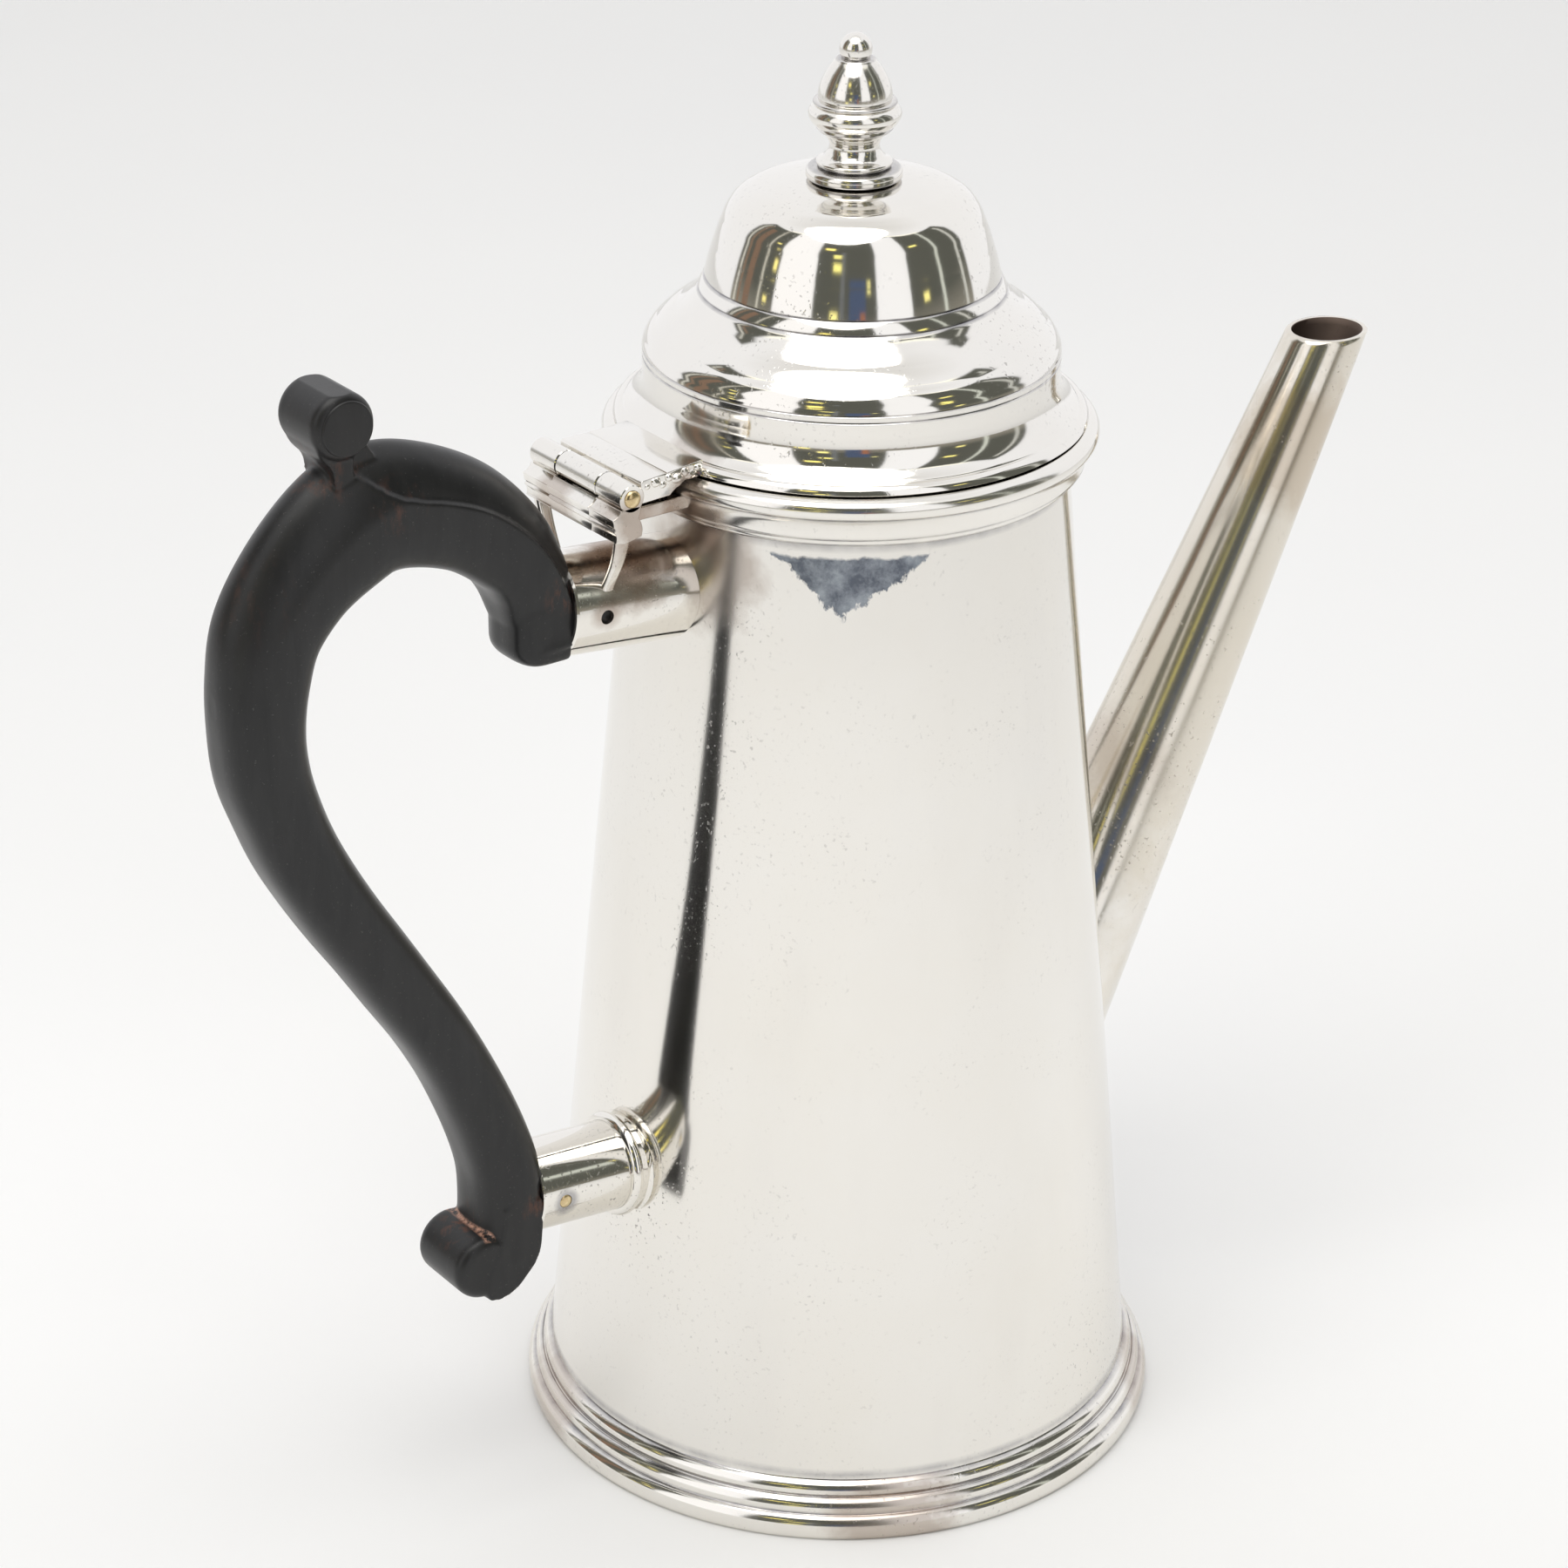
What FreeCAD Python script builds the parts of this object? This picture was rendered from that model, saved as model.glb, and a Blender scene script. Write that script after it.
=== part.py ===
import FreeCAD, Part
import math
import os

import Sketcher
from FreeCAD import Placement, Rotation, Vector

# Silver coffee pot. Millimetres. The origin is on the axis of the pot, at the
# level of the foot's underside. +Z is up, +X points to the spout, -X to the
# handle, and the lid's hinge pin lies along Y.

# ---------------------------------------------------------------- dimensions

DIMENSIONS = [
    # body: a straight cone; its radius at height z is body_low_rad - body_taper * z
    ("body_low_rad", 48.77), ("body_taper", 0.0934), ("wall", 1.2),
    ("shell_low_z", 1.0), ("mouth_z", 171.1),
    ("base_z", 5.0), ("base_thick", 1.2), ("base_play", 0.1),
    # foot: three reeds, each wider than the one above
    ("foot_top_z", 9.2), ("foot_reed1_rad", 49.3), ("foot_reed1_z", 6.7),
    ("foot_reed2_rad", 50.8), ("foot_reed2_z", 4.3), ("foot_wide_rad", 52.0),
    ("foot_wide_z", 1.6), ("foot_edge_rad", 51.6), ("foot_notch", 0.2),
    ("foot_bulge1", 1.9), ("foot_bulge2", 2.1), ("foot_bulge3", 2.3),
    # rim moulding, from its lower fillet up to the bead under the lid
    ("rim_low_z", 163.0), ("rim_fillet_rad", 34.3), ("rim_step_rad", 35.1),
    ("rim_step_z", 164.0), ("rim_band_rad", 35.9), ("rim_band_z", 164.6),
    ("rim_neck_rad", 37.3), ("rim_neck_z", 168.1), ("rim_top_rad", 36.3),
    ("rim_bead", 1.7), ("rim_hollow", 7.0), ("rim_round", 1.0),
    # spout: straight, tapered, leaning outwards, with a level mouth
    ("mouth_x", 98.6), ("spout_lip_z", 164.05), ("spout_lean", 28.1),
    ("spout_lip_rad", 6.25), ("spout_growth", 0.0475), ("spout_wall", 0.9),
    ("spout_length", 148.0), ("spout_over", 10.0),
    ("strainer_z", 62.0), ("strainer_rad", 7.0),
    # the two tubes that hold the handle stand square to the body's wall
    ("socket_tilt", 5.1), ("socket_wall", 0.8), ("socket_root_x", -30.0),
    ("upper_axis_z", 150.5), ("upper_rad", 8.0), ("upper_end_x", -55.4),
    ("lower_axis_z", 52.9), ("lower_rad", 7.2), ("lower_end_x", -62.6),
    ("collar_rad", 8.5), ("collar_out_x", -46.2),
    ("pin_rad", 1.1), ("upper_pin_x", -50.2), ("upper_pin_half", 7.5),
    ("lower_pin_x", -58.7), ("lower_pin_half", 7.35), ("tenon_length", 13.0),
    # lid, from its flange up to the crown
    ("flange_low_z", 171.35), ("flange_rad", 36.2), ("flange_edge_rad", 34.7),
    ("flange_edge_z", 172.9), ("flange_round", 1.7), ("cove_rad", 31.7),
    ("cove_z", 177.9), ("cove_hollow", 5.6), ("flange_top_z", 178.6),
    ("band_top_z", 182.1), ("shoulder_rad", 29.5), ("shoulder_z", 185.5),
    ("shoulder_round", 4.6), ("ogee_rad", 23.3), ("ogee_z", 191.2),
    ("ogee_hollow", 10.0), ("dome_low_rad", 22.3), ("dome_low_z", 193.2),
    ("dome_high_rad", 19.6), ("dome_high_z", 202.0), ("dome_side", 42.0),
    ("crown_rad", 14.2), ("crown_z", 206.9), ("crown_corner", 6.2),
    ("seat_rad", 4.5), ("seat_z", 208.0), ("crown_sweep", 60.0),
    ("lid_wall", 1.1), ("line_width", 0.35), ("line_depth", 0.2),
    ("bezel_rad", 30.8), ("bezel_wall", 0.9), ("bezel_low_z", 165.2),
    ("bezel_top_z", 173.2),
    # finial, turned in one piece, on a stud with a washer and a nut inside
    ("plinth_rad", 4.0), ("disc_rad", 7.25), ("disc_z", 208.6),
    ("disc_top_z", 209.8), ("collet_rad", 5.0), ("step_rad", 5.7),
    ("step_z", 210.2), ("step_top_z", 210.9), ("neck_rad", 3.8),
    ("neck_z", 213.2), ("cup_rad", 5.5), ("cup_z", 215.8), ("bulb_rad", 6.9),
    ("bulb_z", 218.0), ("ridge_rad", 6.0), ("ridge_z", 219.7),
    ("cone_rad", 5.3), ("cone_top_rad", 2.75), ("cone_top_z", 226.1),
    ("tip_neck_rad", 2.2), ("tip_rad", 2.45), ("tip_z", 230.0),
    ("stud_rad", 1.6), ("stud_low_z", 203.4), ("stud_top_z", 212.0),
    ("washer_rad", 4.0), ("washer_thick", 0.8), ("nut_across", 5.6),
    ("nut_thick", 2.2),
    # hinge: three knuckles on one pin, the middle one on the lid
    ("hinge_x", -48.3), ("hinge_z", 171.7), ("knuckle_rad", 2.1),
    ("hinge_half", 11.9), ("middle_half", 5.1), ("knuckle_gap", 0.2),
    ("hinge_pin_rad", 1.1), ("pin_play", 0.05), ("pin_head_rad", 1.4),
    ("pin_head", 0.7), ("leaf_half", 10.5), ("leaf_end_x", -45.8),
    ("leaf_top_z", 173.5), ("leaf_low_z", 169.9), ("leaf_inner_x", -33.2),
    ("leaf_inner_z", 174.2), ("leaf_step_x", -38.9), ("leaf_over_z", 171.6),
    ("bar_out_x", -51.8), ("bar_in_x", -46.5), ("bar_low_z", 165.5),
    ("bar_mid_z", 167.8), ("bar_top_z", 169.9), ("bar_notch", 0.35),
    ("plate_low_z", 165.9), ("plate_top_z", 168.0), ("plate_end_x", -30.0),
    ("plate_half", 10.0), ("sweep_gap", 0.4),
    ("strut_high_y", 9.7), ("strut_low_y", 6.6), ("strut_low_z", 155.6),
    ("strut_thick", 1.3), ("strut_wide", 2.3), ("strut_x", -49.4),
    ("strut_curve", 14.0),
    # handle: width across, and the rounding of its section
    ("handle_wide", 13.0), ("handle_round", 4.2), ("curl_x", -91.7),
    ("curl_z", 189.9), ("curl_rad", 4.9), ("curl_wide", 11.0),
    ("curl_edge", 1.8), ("scroll_x", -72.4), ("scroll_z", 47.1),
    ("scroll_rad", 5.7), ("heel_x", -67.6), ("heel_z", 47.3),
    ("heel_rad", 6.2), ("scroll_wide", 12.4), ("scroll_edge", 2.6),
    ("toe_x", -59.3), ("toe_z", 148.9), ("toe_rad", 4.6),
]

# The handle's centre line, from the upper tube over the arch and down to the
# scroll: x, z, direction of travel (0 is up, -90 is away from the body) and
# the thickness of the wood in the plane of the handle.
HANDLE_STATIONS = [
    ("start", -58.4, 150.6, -18.0, 10.4),
    ("throat", -60.6, 159.6, -26.0, 11.6),
    ("haunch", -66.2, 167.6, -52.0, 14.2),
    ("crest", -77.5, 173.6, -80.0, 16.6),
    ("brow", -90.8, 172.3, -116.0, 16.6),
    ("bend", -101.4, 162.4, -148.0, 14.4),
    ("back", -105.3, 148.0, -179.0, 12.7),
    ("upper_arm", -102.3, 132.0, -200.0, 11.4),
    ("mid_arm", -92.4, 112.2, -212.0, 10.6),
    ("lower_arm", -79.6, 92.0, -211.0, 9.9),
    ("wrist", -71.0, 75.0, -203.0, 9.9),
    ("end", -67.2, 62.0, -193.0, 10.6),
    ("tail", -66.9, 49.0, -172.0, 10.4),
]


class Size:
    """A number that also knows the sheet expression it comes from."""

    def __init__(self, number, text):
        self.number = number
        self.text = text

    @staticmethod
    def of(value):
        return value if isinstance(value, Size) else Size(float(value), repr(float(value)))

    def __add__(self, other):
        other = Size.of(other)
        return Size(self.number + other.number, f"({self.text} + {other.text})")

    def __sub__(self, other):
        other = Size.of(other)
        return Size(self.number - other.number, f"({self.text} - {other.text})")

    def __mul__(self, other):
        other = Size.of(other)
        return Size(self.number * other.number, f"({self.text} * {other.text})")

    def __truediv__(self, other):
        other = Size.of(other)
        return Size(self.number / other.number, f"({self.text} / {other.text})")

    def __neg__(self):
        return Size(-self.number, f"(0 - {self.text})")


def sine(angle):
    return Size(math.sin(math.radians(angle.number)), f"sin({angle.text} * 1deg)")


def cosine(angle):
    return Size(math.cos(math.radians(angle.number)), f"cos({angle.text} * 1deg)")


def root(value):
    return Size(math.sqrt(value.number), f"sqrt({value.text})")


def tangent(angle):
    return Size(math.tan(math.radians(angle.number)), f"tan({angle.text} * 1deg)")


def make_sheet(doc):
    sheet = doc.addObject("Spreadsheet::Sheet", "dims")
    rows = list(DIMENSIONS)
    for name, x, z, turn, thick in HANDLE_STATIONS:
        rows += [(f"{name}_x", x), (f"{name}_z", z), (f"{name}_turn", turn), (f"{name}_thick", thick)]
    for row, (alias, number) in enumerate(rows, start=1):
        sheet.set(f"A{row}", alias)
        sheet.set(f"B{row}", str(number))
        sheet.setAlias(f"B{row}", alias)
    doc.recompute()
    return {alias: Size(number, f"dims.{alias}") for alias, number in rows}


doc = FreeCAD.newDocument("coffee_pot")
D = make_sheet(doc)
ZERO = Size(0.0, "0")


def cone_rad(height):
    """Outer radius of the body's cone at a height."""
    return D["body_low_rad"] - D["body_taper"] * height


# ------------------------------------------------------------------- helpers


def new_body(label):
    body = doc.addObject("PartDesign::Body", label)
    body.Label = label
    return body


def origin_feature(body, role):
    return next(part for part in body.Origin.OriginFeatures if part.Role == role)


def new_sketch(body, name, role="XZ_Plane", shift=None):
    """A sketch on one of the body's own origin planes, moved by shift = (x, y, z) Sizes."""
    sketch = body.newObject("Sketcher::SketchObject", f"{body.Label}_{name}")
    sketch.AttachmentSupport = [(origin_feature(body, role), "")]
    sketch.MapMode = "FlatFace"
    if shift:
        sketch.AttachmentOffset = Placement(Vector(*(part.number for part in shift)), Rotation())
        for axis, part in zip("xyz", shift):
            sketch.setExpression(f".AttachmentOffset.Base.{axis}", part.text)
    return sketch


def bind(sketch, kind, arguments, size):
    """Add a dimension to a sketch and tie it to the sheet."""
    index = sketch.addConstraint(Sketcher.Constraint(kind, *arguments, size.number))
    sketch.setExpression(f"Constraints[{index}]", size.text)


def pin_vertex(sketch, geometry, vertex, point):
    """Fix one vertex at a point (two Sizes) measured from the sketch's origin."""
    bind(sketch, "DistanceX", (-1, 1, geometry, vertex), point[0])
    bind(sketch, "DistanceY", (-1, 1, geometry, vertex), point[1])


def arc_curve(start, end, radius):
    """The short arc from start to end; a positive radius bulges to the right of travel."""
    chord = end - start
    middle = (start + end) * 0.5
    side = Vector(chord.y, -chord.x, 0).normalize()
    reach = abs(radius)
    drop = math.sqrt(reach * reach - chord.Length ** 2 / 4)
    centre = middle - side * math.copysign(drop, radius)
    crown = centre + side * math.copysign(reach, radius)
    return Part.Arc(start, crown, end)


def outline(sketch, points):
    """A closed outline. Each point is (x, y) for a straight side that leads to it,
    or (x, y, radius) for an arc that leads to it."""
    count = len(points)
    places = [Vector(point[0].number, point[1].number, 0) for point in points]
    for index, point in enumerate(points):
        start = places[index - 1]
        if len(point) == 3:
            sketch.addGeometry(arc_curve(start, places[index], point[2].number), False)
        else:
            sketch.addGeometry(Part.LineSegment(start, places[index]), False)
    # Each piece is held by its own end points: a piece's start is the last one's end.
    for index, point in enumerate(points):
        first, last = vertex_order(sketch, index, places[index - 1])
        before = (index - 1) % count
        before_last = vertex_order(sketch, before, places[before - 1])[1]
        sketch.addConstraint(Sketcher.Constraint("Coincident", before, before_last, index, first))
        pin_vertex(sketch, index, last, point)
    for index, point in enumerate(points):
        if len(point) == 3:
            radius = point[2] if point[2].number > 0 else -point[2]
            bind(sketch, "Radius", (index,), radius)


def vertex_order(sketch, index, start):
    """Which of a piece's two vertices is its start: arcs may be stored end first."""
    return (1, 2) if (sketch.getPoint(index, 1) - start).Length < 1e-6 else (2, 1)


def circle(sketch, centre, radius):
    place = Vector(centre[0].number, centre[1].number, 0)
    index = sketch.addGeometry(Part.Circle(place, Vector(0, 0, 1), radius.number), False)
    pin_vertex(sketch, index, 3, centre)
    bind(sketch, "Radius", (index,), radius)


def axis_line(sketch, start, end):
    """A construction line that a profile turns about; returns its name for the feature."""
    ends = [Vector(point[0].number, point[1].number, 0) for point in (start, end)]
    index = sketch.addGeometry(Part.LineSegment(*ends), True)
    pin_vertex(sketch, index, 1, start)
    pin_vertex(sketch, index, 2, end)
    return "Axis0"


def turn(body, sketch, kind="Revolution", axis="V_Axis"):
    feature = body.newObject(f"PartDesign::{kind}", f"{sketch.Name}_{kind.lower()}")
    feature.Profile = sketch
    feature.ReferenceAxis = (sketch, [axis])
    feature.Angle = 360.0
    doc.recompute()
    return feature


def pad(body, sketch, length):
    """Pad both ways from the sketch, to a total length."""
    feature = body.newObject("PartDesign::Pad", f"{sketch.Name}_pad")
    feature.Profile = sketch
    feature.SideType = "Symmetric"
    feature.Length = length.number
    feature.setExpression("Length", length.text)
    doc.recompute()
    return feature


def cut_through(body, sketch):
    """Cut right through, both ways, and make sure that something was cut."""
    before = body.Shape.Volume
    feature = body.newObject("PartDesign::Pocket", f"{sketch.Name}_cut")
    feature.Profile = sketch
    feature.SideType = "Symmetric"
    feature.Type = "Length"
    feature.Length = 400.0
    doc.recompute()
    if body.Shape.Volume > before - 0.01:
        raise RuntimeError(f"{sketch.Name} cuts nothing")
    return feature


def round_edges(body, radius, wanted):
    """Fillet those edges of the body's tip for which wanted(edge) is true."""
    tip = body.Tip
    names = [f"Edge{index}" for index, edge in enumerate(tip.Shape.Edges, start=1) if wanted(edge)]
    feature = body.newObject("PartDesign::Fillet", f"{body.Label}_fillet_{len(body.Group)}")
    feature.Base = (tip, names)
    feature.Radius = radius.number
    feature.setExpression("Radius", radius.text)
    doc.recompute()
    return feature


def turned_piece(label, points):
    """A piece turned about the pot's axis from an outline of (radius, height) points."""
    body = new_body(label)
    sketch = new_sketch(body, "profile")
    outline(sketch, points)
    turn(body, sketch)
    return body


def cut(label, base, tools):
    """base less the tools, as a piece of its own."""
    tool = tools[0]
    if len(tools) > 1:
        tool = doc.addObject("Part::MultiFuse", f"{label}_tools")
        tool.Shapes = tools
    feature = doc.addObject("Part::Cut", label)
    feature.Label = label
    feature.Base = base
    feature.Tool = tool
    doc.recompute()
    return feature


def body_cone(label, inside):
    """The body's cone as one solid, smaller all round by inside."""
    cone = doc.addObject("Part::Cone", label)
    top = D["mouth_z"] + 60.0
    cone.setExpression("Radius1", (cone_rad(ZERO) - inside).text)
    cone.setExpression("Radius2", (cone_rad(top) - inside).text)
    cone.setExpression("Height", top.text)
    doc.recompute()
    return cone


# ----------------------------------------------------------------- the body


def make_body_shell():
    body = new_body("body_shell")
    low, high, wall = D["shell_low_z"], D["mouth_z"], D["wall"]
    sketch = new_sketch(body, "profile")
    outline(sketch, [
        (cone_rad(low) - wall, low),
        (cone_rad(low), low),
        (cone_rad(high), high),
        (cone_rad(high) - wall, high),
    ])
    turn(body, sketch)
    # the way from the inside of the pot into the spout
    hole = new_sketch(body, "strainer", "YZ_Plane")
    circle(hole, (ZERO, D["strainer_z"]), D["strainer_rad"])
    before = body.Shape.Volume
    pocket = body.newObject("PartDesign::Pocket", "strainer_cut")
    pocket.Profile = hole
    pocket.Type = "Length"
    pocket.Reversed = True
    pocket.Length = 60.0
    doc.recompute()
    if body.Shape.Volume > before - 10.0:
        raise RuntimeError("the strainer hole cuts nothing")
    return body


def make_base_disc():
    low, high = D["base_z"], D["base_z"] + D["base_thick"]
    radius = cone_rad(high) - D["wall"] - D["base_play"]
    return turned_piece("base_disc", [(ZERO, low), (radius, low), (radius, high), (ZERO, high)])


def make_foot_ring():
    notch = D["foot_notch"]
    return turned_piece("foot_ring", [
        (cone_rad(ZERO), ZERO),
        (D["foot_edge_rad"], ZERO),
        (D["foot_wide_rad"], D["foot_wide_z"]),
        (D["foot_reed2_rad"], D["foot_reed2_z"] - notch, D["foot_bulge3"]),
        (D["foot_reed2_rad"] - notch, D["foot_reed2_z"]),
        (D["foot_reed1_rad"], D["foot_reed1_z"] - notch, D["foot_bulge2"]),
        (D["foot_reed1_rad"] - notch, D["foot_reed1_z"]),
        (cone_rad(D["foot_top_z"]), D["foot_top_z"], D["foot_bulge1"]),
    ])


def make_rim_moulding():
    return turned_piece("rim_moulding", [
        (cone_rad(D["rim_low_z"]), D["rim_low_z"]),
        (D["rim_fillet_rad"], D["rim_low_z"]),
        (D["rim_step_rad"], D["rim_step_z"], D["rim_round"]),
        (D["rim_band_rad"], D["rim_band_z"]),
        (D["rim_neck_rad"], D["rim_neck_z"], -D["rim_hollow"]),
        (D["rim_top_rad"], D["mouth_z"], D["rim_bead"]),
        (cone_rad(D["mouth_z"]), D["mouth_z"]),
    ])


def make_spout(pot):
    """A slanted tube, turned about its own axis, cut level at the mouth and by the body."""
    body = new_body("spout_tube")
    lean = D["spout_lean"]
    over, length, wall = D["spout_over"], D["spout_length"], D["spout_wall"]

    def at(along, out):
        """A point along the spout's axis from its mouth (down is positive) and out from it."""
        x = D["mouth_x"] - along * sine(lean) - out * cosine(lean)
        z = D["spout_lip_z"] - along * cosine(lean) + out * sine(lean)
        return x, z

    def radius(along):
        return D["spout_lip_rad"] + D["spout_growth"] * along

    sketch = new_sketch(body, "profile")
    outline(sketch, [
        at(-over, radius(-over) - wall),
        at(-over, radius(-over)),
        at(length, radius(length)),
        at(length, radius(length) - wall),
    ])
    axis = axis_line(sketch, at(-over, ZERO), at(length, ZERO))
    turn(body, sketch, axis=axis)
    mouth = new_sketch(body, "mouth")
    low, high = D["spout_lip_z"], D["spout_lip_z"] + 40.0
    near, far = D["mouth_x"] - 30.0, D["mouth_x"] + 30.0
    outline(mouth, [(near, low), (far, low), (far, high), (near, high)])
    cut_through(body, mouth)
    return cut("spout", body, [pot])


# ----------------------------------------------------- the handle's two tubes


def socket_point(axis_z, x, out):
    """A point at x along a tube's axis, and out from it; the axis rises away from the body."""
    tilt = D["socket_tilt"]
    along = -x
    z = D[axis_z] + (along + D["socket_root_x"]) * tangent(tilt)
    return x + out * sine(tilt), z + out * cosine(tilt)


def tube_body(label, axis_z, root_x, end_x, inner, outer):
    body = new_body(label)
    sketch = new_sketch(body, "profile")
    outline(sketch, [
        socket_point(axis_z, root_x, inner),
        socket_point(axis_z, root_x, outer),
        socket_point(axis_z, end_x, outer),
        socket_point(axis_z, end_x, inner),
    ])
    axis = axis_line(sketch, socket_point(axis_z, root_x, ZERO), socket_point(axis_z, end_x, ZERO))
    turn(body, sketch, axis=axis)
    return body


def make_socket(name, pot, pin):
    outer = D[f"{name}_rad"]
    tube = tube_body(
        f"{name}_tube", f"{name}_axis_z", D["socket_root_x"], D[f"{name}_end_x"],
        outer - D["socket_wall"], outer,
    )
    return cut(f"{name}_socket", tube, [pot, pin])


def make_collar(pot):
    ring = tube_body(
        "collar_ring", "lower_axis_z", D["socket_root_x"], D["collar_out_x"],
        D["lower_rad"], D["collar_rad"],
    )
    edge = D["collar_out_x"].number + 1.0
    round_edges(ring, Size.of(1.0), lambda part: is_circle(part, D["collar_rad"].number)
                and part.CenterOfMass.x < edge)
    return cut("lower_socket_collar", ring, [pot])


def is_circle(edge, radius):
    curve = edge.Curve
    return isinstance(curve, Part.Circle) and abs(curve.Radius - radius) < 0.01


def make_cross_pin(label, name, dome):
    """A pin across a tube and the tenon in it; dome rounds its ends."""
    body = new_body(label)
    x, z = socket_point(f"{name}_axis_z", D[f"{name}_pin_x"], ZERO)
    sketch = new_sketch(body, "section")
    circle(sketch, (x, z), D["pin_rad"])
    pad(body, sketch, D[f"{name}_pin_half"] * 2.0)
    if dome:
        round_edges(body, Size.of(0.4), lambda part: is_circle(part, D["pin_rad"].number))
    return body


# ---------------------------------------------------------------- the handle


def handle_section(body, name):
    """A rounded rectangle across the handle's centre line at one station."""
    sketch = new_sketch(body, name, "XY_Plane")
    sketch.AttachmentOffset = Placement(
        Vector(D[f"{name}_x"].number, 0, D[f"{name}_z"].number),
        Rotation(Vector(0, 1, 0), D[f"{name}_turn"].number),
    )
    sketch.setExpression(".AttachmentOffset.Base.x", D[f"{name}_x"].text)
    sketch.setExpression(".AttachmentOffset.Base.z", D[f"{name}_z"].text)
    out = D[f"{name}_thick"] / 2.0
    side = D["handle_wide"] / 2.0
    curve = D["handle_round"]
    outline(sketch, [
        (out - curve, -side),
        (out, curve - side, curve),
        (out, side - curve),
        (out - curve, side, curve),
        (curve - out, side),
        (-out, side - curve, curve),
        (-out, curve - side),
        (curve - out, -side, curve),
    ])
    return sketch


def rounded_disc(body, name, centre, radius, width, edge):
    """A short cylinder across the handle with rounded ends."""
    sketch = new_sketch(body, name)
    circle(sketch, centre, radius)
    pad(body, sketch, width)
    half = width.number / 2.0
    place = Vector(centre[0].number, 0, centre[1].number)

    def is_end(part):
        box = part.BoundBox
        flat = box.YLength < 0.01 and abs(abs(box.YMin) - half) < 0.01
        near = (Vector(part.CenterOfMass.x, 0, part.CenterOfMass.z) - place).Length < radius.number
        return flat and near and is_circle(part, radius.number)

    round_edges(body, edge, is_end)


def make_arm():
    """The long curve of the handle, lofted through its stations."""
    body = new_body("handle_arm")
    sections = [handle_section(body, station[0]) for station in HANDLE_STATIONS]
    loft = body.newObject("PartDesign::AdditiveLoft", "handle_arm_loft")
    loft.Profile = sections[0]
    loft.Sections = sections[1:]
    doc.recompute()
    return body


def make_disc_body(label, centre, radius, width, edge):
    body = new_body(label)
    rounded_disc(body, "round", centre, radius, width, edge)
    return body


def make_curl_neck():
    """The web that carries the thumb curl and runs out along the crest of the arch."""
    body = new_body("handle_curl_neck")
    sketch = new_sketch(body, "side")
    x, z, reach = D["curl_x"], D["curl_z"], D["curl_rad"]
    outline(sketch, [
        (x - reach * 0.9, z - reach * 0.4),
        (x - reach * 0.7, z - reach * 1.9, Size.of(-6.0)),
        (D["crest_x"], D["crest_z"]),
        (D["crest_x"] + 3.0, D["crest_z"] + D["crest_thick"] / 2.0 - 0.6),
        (x + reach * 0.9, z - reach * 0.4, Size.of(-12.0)),
    ])
    pad(body, sketch, D["curl_wide"] - 1.0)
    return body


def tenon(name):
    """The wooden peg inside a tube."""
    inner = D[f"{name}_rad"] - D["socket_wall"]
    end_x = D[f"{name}_end_x"]
    return tube_like_peg(f"handle_{name}_tenon", f"{name}_axis_z", end_x + D["tenon_length"],
                         end_x - 2.0, inner)


def tube_like_peg(label, axis_z, inner_x, outer_x, radius):
    body = new_body(label)
    sketch = new_sketch(body, "profile")
    outline(sketch, [
        socket_point(axis_z, inner_x, ZERO),
        socket_point(axis_z, inner_x, radius),
        socket_point(axis_z, outer_x, radius),
        socket_point(axis_z, outer_x, ZERO),
    ])
    axis = axis_line(sketch, socket_point(axis_z, inner_x, ZERO), socket_point(axis_z, outer_x, ZERO))
    turn(body, sketch, axis=axis)
    return body


def clear_block(label, name):
    """Everything on the body's side of a tube's end, where no wood may be."""
    body = new_body(label)
    sketch = new_sketch(body, "side")
    axis_z, end_x, reach = f"{name}_axis_z", D[f"{name}_end_x"], Size.of(11.0)
    outline(sketch, [
        socket_point(axis_z, end_x, -reach),
        socket_point(axis_z, end_x + 14.0, -reach),
        socket_point(axis_z, end_x + 14.0, reach),
        socket_point(axis_z, end_x, reach),
    ])
    pad(body, sketch, Size.of(30.0))
    return body


def make_handle(pins):
    wide, edge = D["scroll_wide"], D["scroll_edge"]
    pieces = [
        make_arm(),
        make_disc_body("handle_toe", (D["toe_x"], D["toe_z"]), D["toe_rad"], wide, edge),
        make_disc_body("handle_heel", (D["heel_x"], D["heel_z"]), D["heel_rad"], wide, edge),
        make_disc_body("handle_scroll", (D["scroll_x"], D["scroll_z"]), D["scroll_rad"], wide, edge),
        make_disc_body("handle_curl", (D["curl_x"], D["curl_z"]), D["curl_rad"],
                       D["curl_wide"], D["curl_edge"]),
        make_curl_neck(),
    ]
    carved = doc.addObject("Part::MultiFuse", "handle_carving")
    carved.Shapes = pieces
    doc.recompute()
    squared = cut("handle_squared", carved, [clear_block("clear_upper", "upper"),
                                             clear_block("clear_lower", "lower")])
    pegged = doc.addObject("Part::MultiFuse", "handle_pegged")
    pegged.Shapes = [squared, tenon("upper"), tenon("lower")]
    doc.recompute()
    return cut("handle", pegged, pins)


# ------------------------------------------------------------------- the lid


def make_lid_flange():
    inner = D["bezel_rad"]
    return turned_piece("lid_flange", [
        (inner, D["flange_low_z"]),
        (D["flange_rad"], D["flange_low_z"]),
        (D["flange_edge_rad"], D["flange_edge_z"], D["flange_round"]),
        (D["cove_rad"], D["cove_z"], -D["cove_hollow"]),
        (D["cove_rad"], D["flange_top_z"]),
        (inner, D["flange_top_z"]),
    ])


def incised(radius, height):
    """A fine line cut round the lid: the three points of a V that opens outwards."""
    half = D["line_width"] / 2.0
    return [(radius, height - half), (radius - D["line_depth"], height), (radius, height + half)]


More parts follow.
